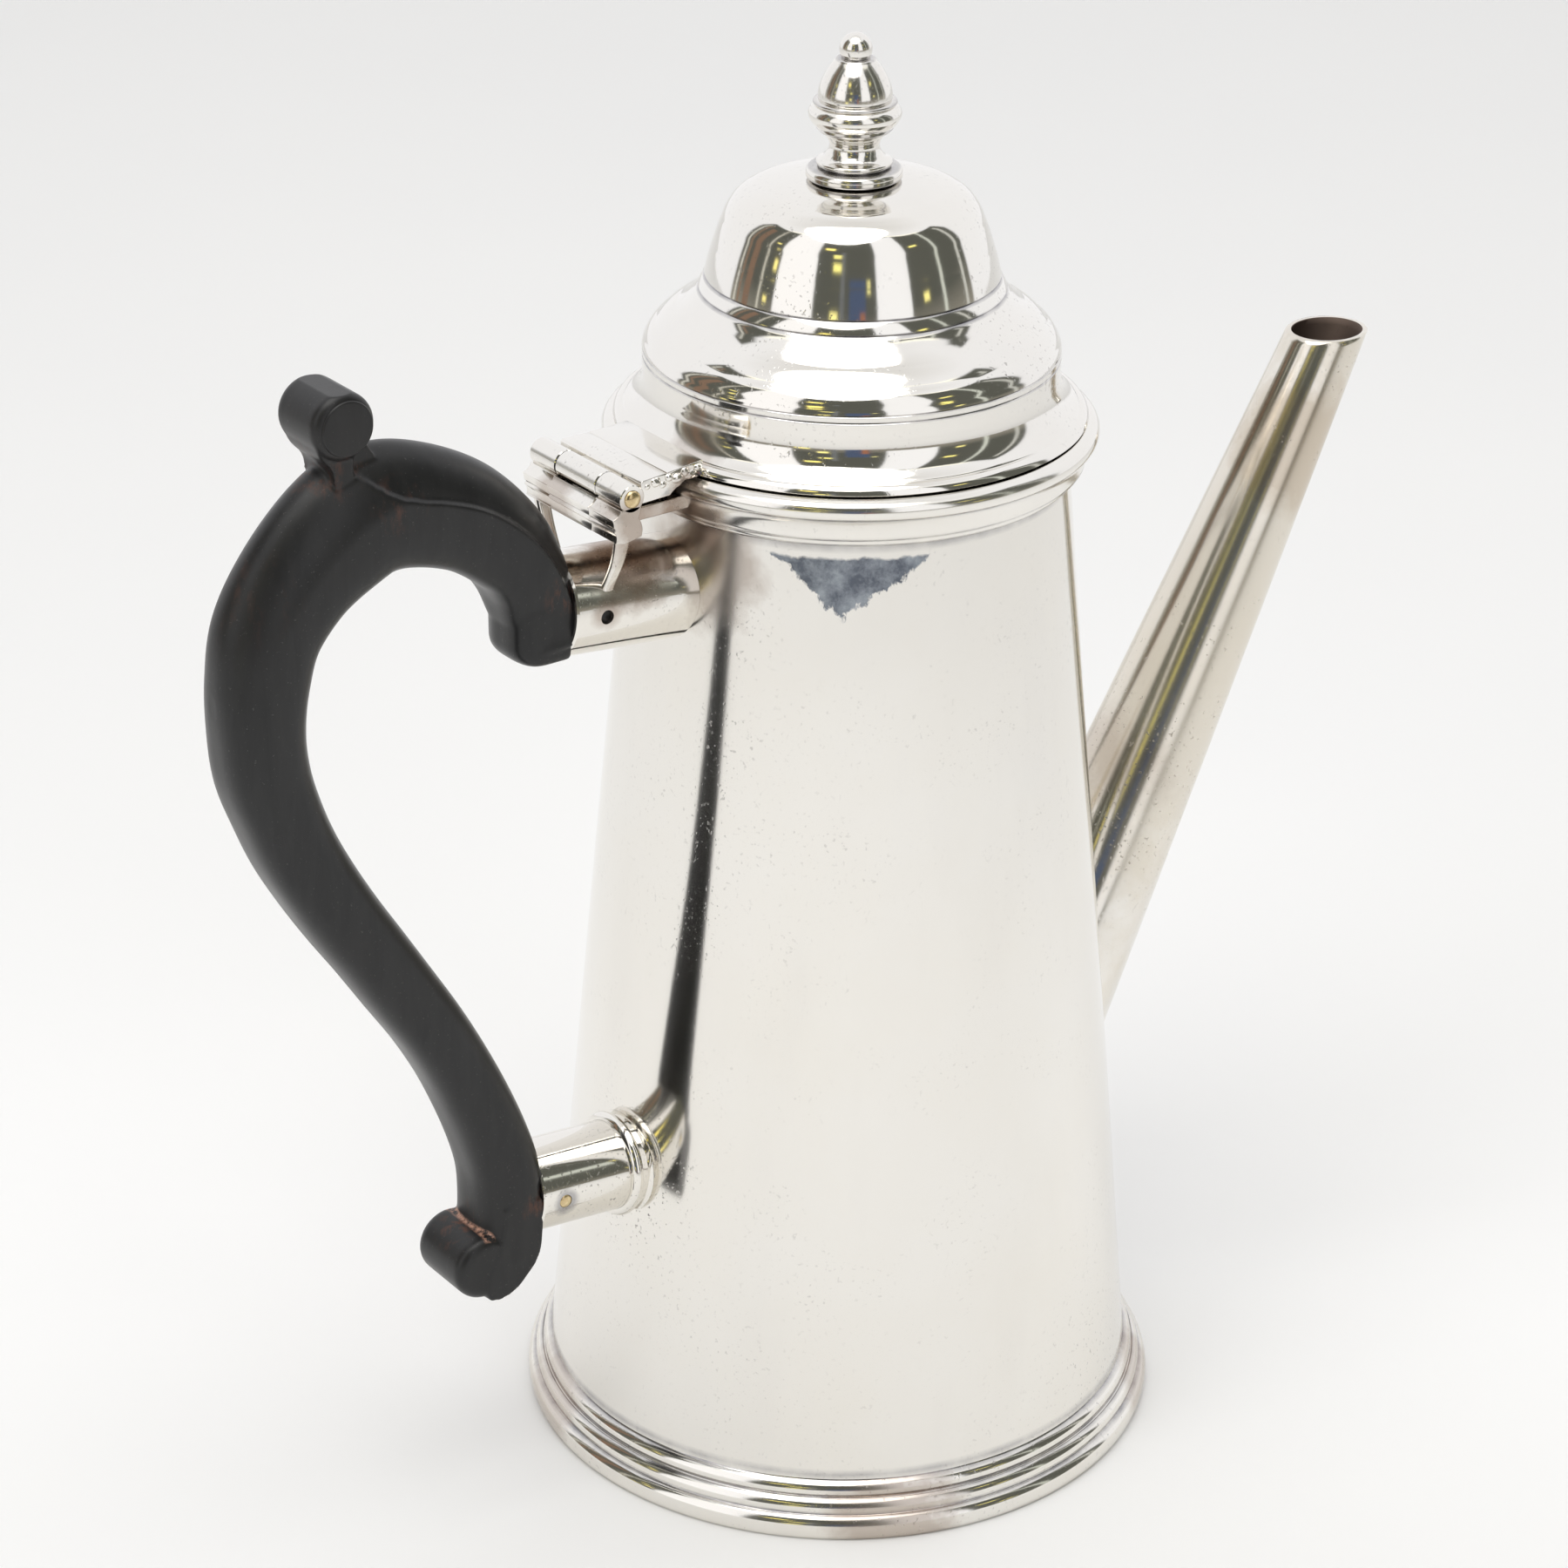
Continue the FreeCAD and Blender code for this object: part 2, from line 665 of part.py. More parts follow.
def make_lid_dome():
    wall = D["lid_wall"]
    band, dome_low = D["cove_rad"], D["dome_low_rad"]
    outer = [(band, D["flange_top_z"])]
    outer += incised(band, D["band_top_z"] - 1.1)
    outer += incised(band, D["band_top_z"] - 0.2)
    outer += [
        (D["shoulder_rad"], D["shoulder_z"], D["shoulder_round"]),
        (D["ogee_rad"], D["ogee_z"] - D["line_width"], -D["ogee_hollow"]),
    ]
    outer += [(D["ogee_rad"] - D["line_depth"] * 1.5, D["ogee_z"]), (D["ogee_rad"], D["ogee_z"] + D["line_width"])]
    outer += incised(dome_low, D["dome_low_z"])
    outer += [
        (D["dome_high_rad"], D["dome_high_z"], D["dome_side"]),
        (D["crown_rad"], D["crown_z"], D["crown_corner"]),
        (D["seat_rad"], D["seat_z"], D["crown_sweep"]),
        (D["stud_rad"], D["seat_z"]),
    ]
    inner = [
        (D["stud_rad"], D["seat_z"] - wall),
        (D["seat_rad"], D["seat_z"] - wall),
        (D["crown_rad"] - wall * 0.3, D["crown_z"] - wall, -D["crown_sweep"]),
        (D["dome_high_rad"] - wall, D["dome_high_z"] - wall * 0.4, -(D["crown_corner"] - wall * 0.8)),
        (dome_low - wall, D["dome_low_z"], -D["dome_side"]),
        (D["ogee_rad"] - wall, D["ogee_z"] - wall * 0.6),
        (D["shoulder_rad"] - wall * 0.9, D["shoulder_z"] - wall * 0.9, D["ogee_hollow"] + wall),
        (band - wall, D["band_top_z"], -(D["shoulder_round"] - wall * 0.4)),
        (band - wall, D["flange_top_z"]),
    ]
    return turned_piece("lid_dome", outer + inner)


def make_lid_bezel():
    outer = D["bezel_rad"]
    return turned_piece("lid_bezel", [
        (outer - D["bezel_wall"], D["bezel_low_z"]),
        (outer, D["bezel_low_z"]),
        (outer, D["bezel_top_z"]),
        (outer - D["bezel_wall"], D["bezel_top_z"]),
    ])


def make_finial():
    hollow, tip, neck = D["stud_rad"], D["tip_rad"], D["tip_neck_rad"]
    tip_low = D["tip_z"] - tip - root(tip * tip - neck * neck)
    return turned_piece("finial", [
        (hollow, D["seat_z"]),
        (D["plinth_rad"], D["seat_z"]),
        (D["plinth_rad"], D["disc_z"]),
        (D["disc_rad"] - 0.3, D["disc_z"]),
        (D["disc_rad"] - 0.5, D["disc_top_z"], Size.of(0.8)),
        (D["collet_rad"], D["disc_top_z"] + 0.1),
        (D["step_rad"], D["step_z"]),
        (D["step_rad"], D["step_top_z"], Size.of(0.5)),
        (D["neck_rad"], D["neck_z"], Size.of(-2.6)),
        (D["cup_rad"], D["cup_z"], Size.of(-2.9)),
        (D["bulb_rad"], D["bulb_z"], Size.of(4.0)),
        (D["ridge_rad"], D["ridge_z"] - 0.4, Size.of(2.0)),
        (D["ridge_rad"], D["ridge_z"], Size.of(0.3)),
        (D["cone_rad"], D["ridge_z"] + 0.1),
        (D["cone_top_rad"], D["cone_top_z"], Size.of(16.0)),
        (neck, tip_low),
        (tip, D["tip_z"] - tip, tip),
        (ZERO, D["tip_z"], tip),
        (ZERO, D["stud_top_z"]),
        (hollow, D["stud_top_z"]),
    ])


def make_finial_stud():
    return turned_piece("finial_stud", [
        (ZERO, D["stud_low_z"]),
        (D["stud_rad"], D["stud_low_z"]),
        (D["stud_rad"], D["stud_top_z"]),
        (ZERO, D["stud_top_z"]),
    ])


def make_finial_washer():
    top = D["seat_z"] - D["lid_wall"]
    low = top - D["washer_thick"]
    return turned_piece("finial_washer", [
        (D["stud_rad"], low), (D["washer_rad"], low), (D["washer_rad"], top), (D["stud_rad"], top),
    ])


def make_finial_nut(stud):
    """A square nut under the washer."""
    body = new_body("nut_blank")
    top = D["seat_z"] - D["lid_wall"] - D["washer_thick"]
    middle = top - D["nut_thick"] / 2.0
    half = D["nut_across"] / 2.0
    sketch = new_sketch(body, "square", "XY_Plane", (ZERO, ZERO, middle))
    outline(sketch, [(-half, -half), (half, -half), (half, half), (-half, half)])
    pad(body, sketch, D["nut_thick"])
    return cut("finial_nut", body, [stud])


# ----------------------------------------------------------------- the hinge


def hinge_cylinder(label, radius, half):
    """A cylinder about the hinge's axis, as long each way from the middle as half."""
    body = new_body(label)
    sketch = new_sketch(body, "round")
    circle(sketch, (D["hinge_x"], D["hinge_z"]), radius)
    pad(body, sketch, half * 2.0)
    return body


def make_hinge_pin():
    body = new_body("hinge_pin")
    plane_shift = (ZERO, ZERO, D["hinge_x"])
    sketch = new_sketch(body, "profile", "YZ_Plane", plane_shift)
    centre, radius, half = D["hinge_z"], D["hinge_pin_rad"], D["hinge_half"]
    head_rad, head = D["pin_head_rad"], D["pin_head"]
    dome = (head_rad * head_rad + head * head) / (head * 2.0)
    outline(sketch, [
        (-(half + head), centre, dome),
        (half + head, centre),
        (half, centre + head_rad, dome),
        (half, centre + radius),
        (-half, centre + radius),
        (-half, centre + head_rad),
    ])
    axis = axis_line(sketch, (-half, centre), (half, centre))
    turn(body, sketch, axis=axis)
    return body


def make_hinge_leaf(flange, dome):
    """The lid's half of the hinge: plate, web and middle knuckle."""
    plate = new_body("leaf_plate")
    sketch = new_sketch(plate, "side")
    outline(sketch, [
        (D["leaf_end_x"], D["leaf_low_z"]),
        (D["leaf_step_x"] - 1.2, D["leaf_low_z"]),
        (D["leaf_step_x"] + 1.6, D["leaf_over_z"]),
        (D["leaf_inner_x"], D["leaf_over_z"]),
        (D["leaf_inner_x"], D["leaf_inner_z"]),
        (D["leaf_end_x"], D["leaf_top_z"]),
    ])
    pad(plate, sketch, D["leaf_half"] * 2.0)
    web = new_body("leaf_web")
    side = new_sketch(web, "side")
    outline(side, [
        (D["hinge_x"], D["hinge_z"] - D["knuckle_rad"] * 0.5),
        (D["leaf_end_x"], D["hinge_z"] - D["knuckle_rad"] * 0.5),
        (D["leaf_end_x"], D["leaf_top_z"]),
        (D["hinge_x"], D["hinge_z"] + D["knuckle_rad"] * 0.85),
    ])
    pad(web, side, D["middle_half"] * 2.0)
    knuckle = hinge_cylinder("middle_knuckle", D["knuckle_rad"], D["middle_half"])
    whole = doc.addObject("Part::MultiFuse", "leaf_whole")
    whole.Shapes = [plate, web, knuckle]
    doc.recompute()
    bore = hinge_cylinder("leaf_bore", D["hinge_pin_rad"] + D["pin_play"], D["hinge_half"])
    return cut("hinge_leaf", whole, [bore, flange, dome])


def make_hinge_bracket(rim, pin):
    """The body's half of the hinge: reeded bar, plate to the rim and outer knuckles."""
    bar = new_body("bracket_bar")
    sketch = new_sketch(bar, "side")
    notch = D["bar_notch"]
    outline(sketch, [
        (D["bar_in_x"], D["bar_low_z"]),
        (D["bar_in_x"], D["bar_top_z"]),
        (D["hinge_x"], D["hinge_z"]),
        (D["bar_out_x"] + 1.4, D["bar_top_z"] + 0.6),
        (D["bar_out_x"] + notch, D["bar_mid_z"], -Size.of(2.2)),
        (D["bar_out_x"] + notch * 2.0, D["bar_mid_z"] - notch),
        (D["bar_out_x"] + notch * 3.0, D["bar_low_z"], -Size.of(1.5)),
    ])
    pad(bar, sketch, D["hinge_half"] * 2.0)
    plate = new_body("bracket_plate")
    side = new_sketch(plate, "side")
    outline(side, [
        (D["bar_in_x"] - 0.5, D["plate_low_z"]),
        (D["plate_end_x"], D["plate_low_z"]),
        (D["plate_end_x"], D["plate_top_z"]),
        (D["bar_in_x"] - 0.5, D["plate_top_z"]),
    ])
    pad(plate, side, D["plate_half"] * 2.0)
    knuckles = hinge_cylinder("outer_knuckles", D["knuckle_rad"], D["hinge_half"])
    whole = doc.addObject("Part::MultiFuse", "bracket_whole")
    whole.Shapes = [bar, plate, knuckles]
    doc.recompute()
    sweep = hinge_cylinder("middle_space", D["knuckle_rad"] + D["sweep_gap"],
                           D["middle_half"] + D["knuckle_gap"])
    pot = body_cone("bracket_pot", ZERO)
    return cut("hinge_bracket", whole, [sweep, pin, rim, pot])


def make_strut(label, side, tube):
    """A small curved tongue from the bracket down to the upper tube."""
    body = new_body(f"{label}_blank")
    shift = (ZERO, ZERO, D["strut_x"])
    sketch = new_sketch(body, "front", "YZ_Plane", shift)
    high_y, low_y = D["strut_high_y"] * side, D["strut_low_y"] * side
    high_z, low_z, thick = D["bar_low_z"], D["strut_low_z"], D["strut_thick"] * side
    curve = D["strut_curve"] * side
    outline(sketch, [
        (low_y - thick, low_z, -curve),
        (low_y, low_z),
        (high_y, high_z, curve),
        (high_y - thick, high_z),
    ])
    pad(body, sketch, D["strut_wide"])
    return cut(label, body, [tube])


# ------------------------------------------------------------------ assembly


def build():
    pot = body_cone("pot_solid", ZERO)
    upper_pin = make_cross_pin("upper_handle_pin", "upper", False)
    lower_pin = make_cross_pin("lower_handle_pin", "lower", True)
    upper_fill = tube_like_peg("upper_fill", "upper_axis_z", D["socket_root_x"],
                               D["upper_end_x"], D["upper_rad"])
    rim = make_rim_moulding()
    flange, dome = make_lid_flange(), make_lid_dome()
    hinge_pin, stud = make_hinge_pin(), make_finial_stud()
    return [
        make_body_shell(), make_base_disc(), make_foot_ring(), rim,
        make_spout(pot),
        make_socket("upper", pot, upper_pin), make_socket("lower", pot, lower_pin),
        make_collar(pot),
        make_handle([upper_pin, lower_pin]), upper_pin, lower_pin,
        make_hinge_bracket(rim, hinge_pin), hinge_pin,
        make_strut("hinge_strut_front", -1.0, upper_fill),
        make_strut("hinge_strut_rear", 1.0, upper_fill),
        flange, dome, make_lid_bezel(), make_hinge_leaf(flange, dome),
        make_finial(), stud, make_finial_washer(), make_finial_nut(stud),
    ]


def check_and_write(nodes):
    doc.recompute()
    for item in doc.Objects:
        if "Invalid" in item.State or "Error" in item.State:
            raise RuntimeError(f"{item.Label} did not build: {item.State}")
    for node in nodes:
        if node.Shape.isNull() or not node.Shape.isValid():
            raise RuntimeError(f"{node.Label} has no valid shape")
    os.makedirs("parts", exist_ok=True)
    for node in nodes:
        node.Shape.exportStep(f"parts/{node.Label}.step")
        box = node.Shape.BoundBox
        print(f"{node.Label}: {len(node.Shape.Solids)} solid, {node.Shape.Volume / 1000:.2f} cm3, "
              f"x {box.XMin:.1f}..{box.XMax:.1f} y {box.YMin:.1f}..{box.YMax:.1f} "
              f"z {box.ZMin:.1f}..{box.ZMax:.1f}")


check_and_write(build())
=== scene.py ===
from math import atan2, copysign, cos, dist, hypot, pi, radians, sin, sqrt, tan

import bmesh
import bpy
from mathutils import Matrix, Vector, noise


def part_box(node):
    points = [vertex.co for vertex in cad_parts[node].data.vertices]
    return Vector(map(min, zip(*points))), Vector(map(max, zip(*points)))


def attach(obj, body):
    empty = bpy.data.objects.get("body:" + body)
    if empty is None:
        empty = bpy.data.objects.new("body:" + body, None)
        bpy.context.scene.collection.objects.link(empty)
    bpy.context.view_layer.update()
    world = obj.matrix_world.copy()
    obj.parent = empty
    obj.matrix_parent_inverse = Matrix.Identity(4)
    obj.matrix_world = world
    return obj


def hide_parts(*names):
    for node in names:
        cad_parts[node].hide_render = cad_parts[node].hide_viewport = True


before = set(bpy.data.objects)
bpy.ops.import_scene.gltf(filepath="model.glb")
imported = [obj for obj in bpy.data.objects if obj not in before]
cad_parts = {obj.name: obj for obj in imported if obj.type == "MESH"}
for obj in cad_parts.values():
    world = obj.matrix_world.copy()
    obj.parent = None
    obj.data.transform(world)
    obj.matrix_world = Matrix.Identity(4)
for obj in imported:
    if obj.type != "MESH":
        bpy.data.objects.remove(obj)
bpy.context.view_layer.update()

MM = 0.001
scene = bpy.context.scene

# ---- mesh help


def add_mesh(name, bm, body, stands_for, sharp=40):
    """Turns a bmesh in millimetres into a smooth-shaded piece that rides on a body."""
    bmesh.ops.recalc_face_normals(bm, faces=bm.faces)
    bmesh.ops.scale(bm, vec=(MM, MM, MM), verts=bm.verts)
    mesh = bpy.data.meshes.new(name)
    bm.to_mesh(mesh)
    bm.free()
    mesh.shade_smooth()
    if sharp:
        mesh.set_sharp_from_angle(angle=radians(sharp))
    piece = bpy.data.objects.new(name, mesh)
    scene.collection.objects.link(piece)
    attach(piece, body)
    if stands_for:
        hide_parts(*stands_for)
    return piece


def arc_points(start, end, radius, steps):
    """Points on the short arc from start to end, without start. A positive radius bulges to
    the right of travel, the same rule as in the part's source."""
    (ax, ay), (bx, by) = start, end
    chord = hypot(bx - ax, by - ay)
    side = ((by - ay) / chord, -(bx - ax) / chord)
    reach = abs(radius)
    drop = sqrt(max(0, reach * reach - chord * chord / 4))
    sign = copysign(1, radius)
    cx = (ax + bx) / 2 - side[0] * drop * sign
    cy = (ay + by) / 2 - side[1] * drop * sign
    first = atan2(ay - cy, ax - cx)
    last = atan2(by - cy, bx - cx)
    turn = (last - first + pi) % (2 * pi) - pi
    angles = [first + turn * k / steps for k in range(1, steps + 1)]
    return [(cx + reach * cos(a), cy + reach * sin(a)) for a in angles]


def profile(points, step=0.55):
    """(r, z) or (r, z, arc radius) points, with the arcs and long runs divided finely."""
    made = [points[0][:2]]
    for point in points[1:]:
        start, end = made[-1], point[:2]
        gap = dist(start, end)
        if len(point) == 3:
            made += arc_points(start, end, point[2], max(4, int(gap / step * 1.4)))
        else:
            parts = max(1, int(gap / 4))
            made += [tuple(a + (b - a) * k / parts for a, b in zip(start, end))
                     for k in range(1, parts + 1)]
    return made


def lathe(points, segments, closed=False, warp=None):
    """A surface turned about Z from (r, z) points; warp(place) may move each vertex."""
    bm = bmesh.new()
    rings = []
    for r, z in points:
        if r < 1e-6:
            rings.append([bm.verts.new((0, 0, z))])
            continue
        ring = []
        for a in circle(segments):
            co = Vector((r * cos(a), r * sin(a), z))
            ring.append(bm.verts.new(warp(co) if warp else co))
        rings.append(ring)
    pairs = list(zip(rings, rings[1:]))
    if closed:
        pairs.append((rings[-1], rings[0]))
    for low, high in pairs:
        for k in range(segments):
            n = (k + 1) % segments
            if len(low) == 1 and len(high) > 1:
                bm.faces.new((low[0], high[n], high[k]))
            elif len(high) == 1 and len(low) > 1:
                bm.faces.new((low[k], low[n], high[0]))
            elif len(low) > 1:
                bm.faces.new((low[k], low[n], high[n], high[k]))
    return bm


def bevelled(points, step=0.25):
    """A closed XZ outline from (x, z) or (x, z, arc radius) points; the first point's arc,
    if it has one, closes the outline."""
    made = []
    for index, point in enumerate(points):
        start = points[index - 1][:2]
        if len(point) == 3:
            steps = max(4, int(dist(start, point[:2]) / step))
            made += arc_points(start, point[:2], point[2], steps)
        else:
            made.append(tuple(point[:2]))
    return made


def stitch(bm, loops, ends=False):
    """Joins each loop of vertices to the next with quads, and closes both ends if asked to."""
    count = len(loops[0])
    for low, high in zip(loops, loops[1:]):
        for k in range(count):
            n = (k + 1) % count
            bm.faces.new((low[k], low[n], high[n], high[k]))
    if ends:
        bm.faces.new(loops[0])
        bm.faces.new(list(reversed(loops[-1])))


def bisect(low, high, short):
    """Narrows low and high to the place where short(value) stops being true."""
    for _ in range(40):
        middle = (low + high) / 2
        if short(middle):
            low = middle
        else:
            high = middle
    return low, high


def circle(count):
    """Angles evenly round a circle."""
    return [2 * pi * k / count for k in range(count)]


def travel(rows, index):
    """The direction, in two dimensions, in which a row of numbers passes one of its points."""
    before, after = rows[max(0, index - 1)], rows[min(len(rows) - 1, index + 1)]
    return Vector((after[0] - before[0], after[1] - before[1], 0)).normalized()


def quarter(steps, first=0, last=None):
    """Angles from 0 to 90 degrees, or only some of them."""
    return [k * pi / (2 * steps) for k in range(first, steps + 1 if last is None else last)]


def powered(value, power):
    """A power that keeps the sign, for the eased corners of a section."""
    return copysign(abs(value) ** power, value)


def slab(outline, half, centre=0):
    """An outline in XZ given depth along Y."""
    bm = bmesh.new()
    near = [bm.verts.new((x, centre - half, z)) for x, z in outline]
    far = [bm.verts.new((x, centre + half, z)) for x, z in outline]
    bm.faces.new(near)
    bm.faces.new(list(reversed(far)))
    count = len(outline)
    for k in range(count):
        n = (k + 1) % count
        bm.faces.new((near[n], near[k], far[k], far[n]))
    return bm


def join(*parts):
    """One bmesh from several."""
    whole = bmesh.new()
    for part in parts:
        mesh = bpy.data.meshes.new("joining")
        part.to_mesh(mesh)
        whole.from_mesh(mesh)
        bpy.data.meshes.remove(mesh)
        part.free()
    return whole


def placed(bm, matrix):
    """The same bmesh, moved."""
    bmesh.ops.transform(bm, matrix=matrix, verts=bm.verts)
    return bm


def apply_modifiers(piece):
    """Puts the modifiers' result in the mesh."""
    dg = bpy.context.evaluated_depsgraph_get()
    mesh = bpy.data.meshes.new_from_object(piece.evaluated_get(dg))
    piece.modifiers.clear()
    old = piece.data
    piece.data = mesh
    bpy.data.meshes.remove(old)


# ---- materials


class Tree:
    """Short calls for a node tree. A value is a socket to link or a constant."""

    def __init__(self, owner):
        owner.use_nodes = True
        self.tree = owner.node_tree

    def add(self, kind, **values):
        node = self.tree.nodes.new("ShaderNode" + kind)
        for key, value in values.items():
            setattr(node, key, value)
        return node

    def put(self, value, socket):
        if hasattr(value, "links"):
            self.tree.links.new(value, socket)
        elif value is not None:
            socket.default_value = value

    def feed(self, node, **inputs):
        for key, value in inputs.items():
            self.put(value, node.inputs[key.replace("_", " ")])
        return node

    def math(self, kind, *values, clamp=False):
        node = self.add("Math", operation=kind, use_clamp=clamp)
        for value, socket in zip(values, node.inputs):
            self.put(value, socket)
        return node.outputs["Value"]

    def plus(self, a, b, clamp=False):
        return self.math("ADD", a, b, clamp=clamp)

    def less(self, a, b, clamp=False):
        return self.math("SUBTRACT", a, b, clamp=clamp)

    def times(self, a, b, clamp=False):
        return self.math("MULTIPLY", a, b, clamp=clamp)

    def over(self, a, b, clamp=False):
        return self.math("DIVIDE", a, b, clamp=clamp)

    def mix(self, factor, a, b):
        node = self.add("Mix", data_type="RGBA")
        for value, index in ((factor, 0), (a, 6), (b, 7)):
            self.put(value, node.inputs[index])
        return node.outputs[2]

    def split(self, vector):
        return self.feed(self.add("SeparateXYZ"), Vector=vector).outputs


class Nodes(Tree):
    """A material's tree, with places and sizes on the object in millimetres."""

    def __init__(self, name):
        self.material = bpy.data.materials.new(name)
        super().__init__(self.material)
        self.shader = self.tree.nodes["Principled BSDF"]
        self.place = self.add("TexCoord").outputs["Object"]

    def noise(self, scale, detail=4, rough=0.55, stretch=(1, 1, 1), shift=(0, 0, 0), distortion=0):
        """Noise over the object's own coordinates; scale is in cycles per metre."""
        place = self.place
        if stretch != (1, 1, 1) or any(shift):
            mapping = self.feed(self.add("Mapping"), Vector=place, Scale=stretch, Location=shift)
            place = mapping.outputs["Vector"]
        node = self.feed(self.add("TexNoise"), Vector=place, Scale=scale, Detail=detail,
                         Roughness=rough, Distortion=distortion)
        return node.outputs["Fac"]

    def ramp(self, source, low, high):
        """0 up to low, rising evenly to 1 at high."""
        node = self.feed(self.add("ValToRGB"), Fac=source)
        for element, at in zip(node.color_ramp.elements, (low, high)):
            element.position = at
        return node.outputs["Color"]

    def axis(self, name):
        return self.split(self.place)[name]

    def radius_from(self, centre):
        """Distance of a point from centre."""
        node = self.add("VectorMath", operation="DISTANCE")
        self.put(self.place, node.inputs[0])
        self.put([v * MM for v in centre], node.inputs[1])
        return node.outputs["Value"]

    def near(self, centre, radius):
        """1 at centre, falling to 0 at radius from it."""
        return self.less(1, self.over(self.radius_from(centre), radius * MM), clamp=True)

    def near_height(self, height, width):
        """1 at a height, falling to 0 at width from it."""
        gap = self.math("ABSOLUTE", self.less(self.axis("Z"), height * MM))
        return self.less(1, self.over(gap, width * MM), clamp=True)

    def bump(self, height, strength, distance, before=None):
        node = self.feed(self.add("Bump"), Strength=strength, Distance=distance * MM,
                         Height=height, Normal=before)
        return node.outputs["Normal"]


def rgb(r, g, b):
    return (r, g, b, 1)


SILVER = rgb(0.86, 0.84, 0.8)
SILVER_WARM = rgb(0.83, 0.795, 0.725)
# brown for tarnish stains, and for painted shade under the hinge leaf
TARNISH_AND_SHADE_BROWN = rgb(0.36, 0.27, 0.21)
TARNISH_BLUE = rgb(0.13, 0.13, 0.17)
PIT = rgb(0.34, 0.32, 0.31)


def silver(name, rough=0.075, warm=0.35, pits=0.5, grooves=(), patches=(), hazes=(),
           wave=0, pit_scale=1, torn=False):
    """Polished, hand-finished silver.

    grooves: (height, width, strength) bands of dark tarnish round the object.
    patches: (centre, radius, strength) irregular brown patches, with a colour added if not brown; most are
    stains, some are painted shade and one is a painted reflection, as noted where they are given.
    hazes: (centre, radius, strength) places with many more pits.
    torn: the ragged blue-grey painted reflection under the rim, of a dark thing in front of the pot, wide
    at the top and coming to a point.
    """
    n = Nodes(name)
    cloud = n.noise(22, 5, 0.6)
    fine = n.noise(150, 6, 0.65)
    colour = n.mix(n.times(n.ramp(cloud, 0.38, 0.68), warm), SILVER, SILVER_WARM)
    # faint grey wipe marks left by polishing
    wipe = n.ramp(n.noise(60, 4, 0.6, stretch=(1, 1, 0.25), shift=(0.3, 0.1, 0.2)), 0.52, 0.78)
    colour = n.mix(n.times(wipe, 0.16), colour, rgb(0.7, 0.68, 0.66))
    # pits: small dark specks, gathered in clouds
    speck = n.ramp(n.noise(1500 * pit_scale, 2, 0.5), 0.635, 0.7)
    gather = n.ramp(n.noise(70, 3, 0.6, shift=(0.7, 0.2, 0.9)), 0.47, 0.66)
    amount = n.times(gather, pits)
    for centre, radius, strength in hazes:
        amount = n.plus(amount, n.times(n.near(centre, radius), strength), clamp=True)
    pitted = n.times(speck, amount)
    colour = n.mix(pitted, colour, PIT)
    # how much tarnish, stain, painted shade and painted reflection lie on each place; it roughens the
    # surface below
    stain_and_painted_light = 0
    for height, width, strength in grooves:
        band = n.near_height(height, width)
        broken = n.math("MULTIPLY_ADD", fine, 1.5, -0.25)
        band = n.times(n.times(band, strength), broken, clamp=True)
        colour = n.mix(band, colour, TARNISH_BLUE)
        stain_and_painted_light = n.math("MAXIMUM", stain_and_painted_light, band)
    # brown patches: stains, and in some materials painted shade and a painted reflection
    for centre, radius, strength, *other in patches:
        reach = n.math("MULTIPLY_ADD", n.noise(90, 5, 0.65, shift=(0.5, 0.4, centre[2] * 0.01)),
                       1.3, -0.65)
        near = n.over(n.radius_from(centre), radius * MM)
        near = n.less(1, n.plus(near, reach), clamp=True)
        near = n.times(n.ramp(near, 0, 0.45), strength)
        colour = n.mix(near, colour, other[0] if other else TARNISH_AND_SHADE_BROWN)
        stain_and_painted_light = n.math("MAXIMUM", stain_and_painted_light, near)
    # painted reflection: the dark thing in front of the pot, seen in the body under the rim
    if torn:
        colour, stain_and_painted_light = painted_reflection_under_rim(n, colour, stain_and_painted_light)
    base = n.math("MULTIPLY_ADD", cloud, 0.05, rough - 0.025)
    base = n.plus(base, n.times(wipe, 0.05))
    base = n.plus(base, n.times(pitted, 0.35))
    base = n.plus(base, n.times(stain_and_painted_light, 0.22))
    hairs = n.noise(2600, 2, 0.5, stretch=(1, 1, 0.05))
    cross = n.noise(2300, 2, 0.5, stretch=(0.06, 0.06, 1), shift=(0.2, 0.6, 0.1))
    normal = n.bump(n.plus(hairs, cross), 0.05, 0.02)
    normal = n.bump(n.less(1, pitted), 0.35, 0.06, normal)
    if wave:
        normal = n.bump(n.noise(85, 1, 0.4), wave, 0.35, normal)
    n.feed(n.shader, Base_Color=colour, Metallic=1, Roughness=base, Normal=normal)
    return n.material


# the side of the pot that the open side of the tent and the camera face, in X and Y
FRONT_X, FRONT_Y = -0.606, -0.795


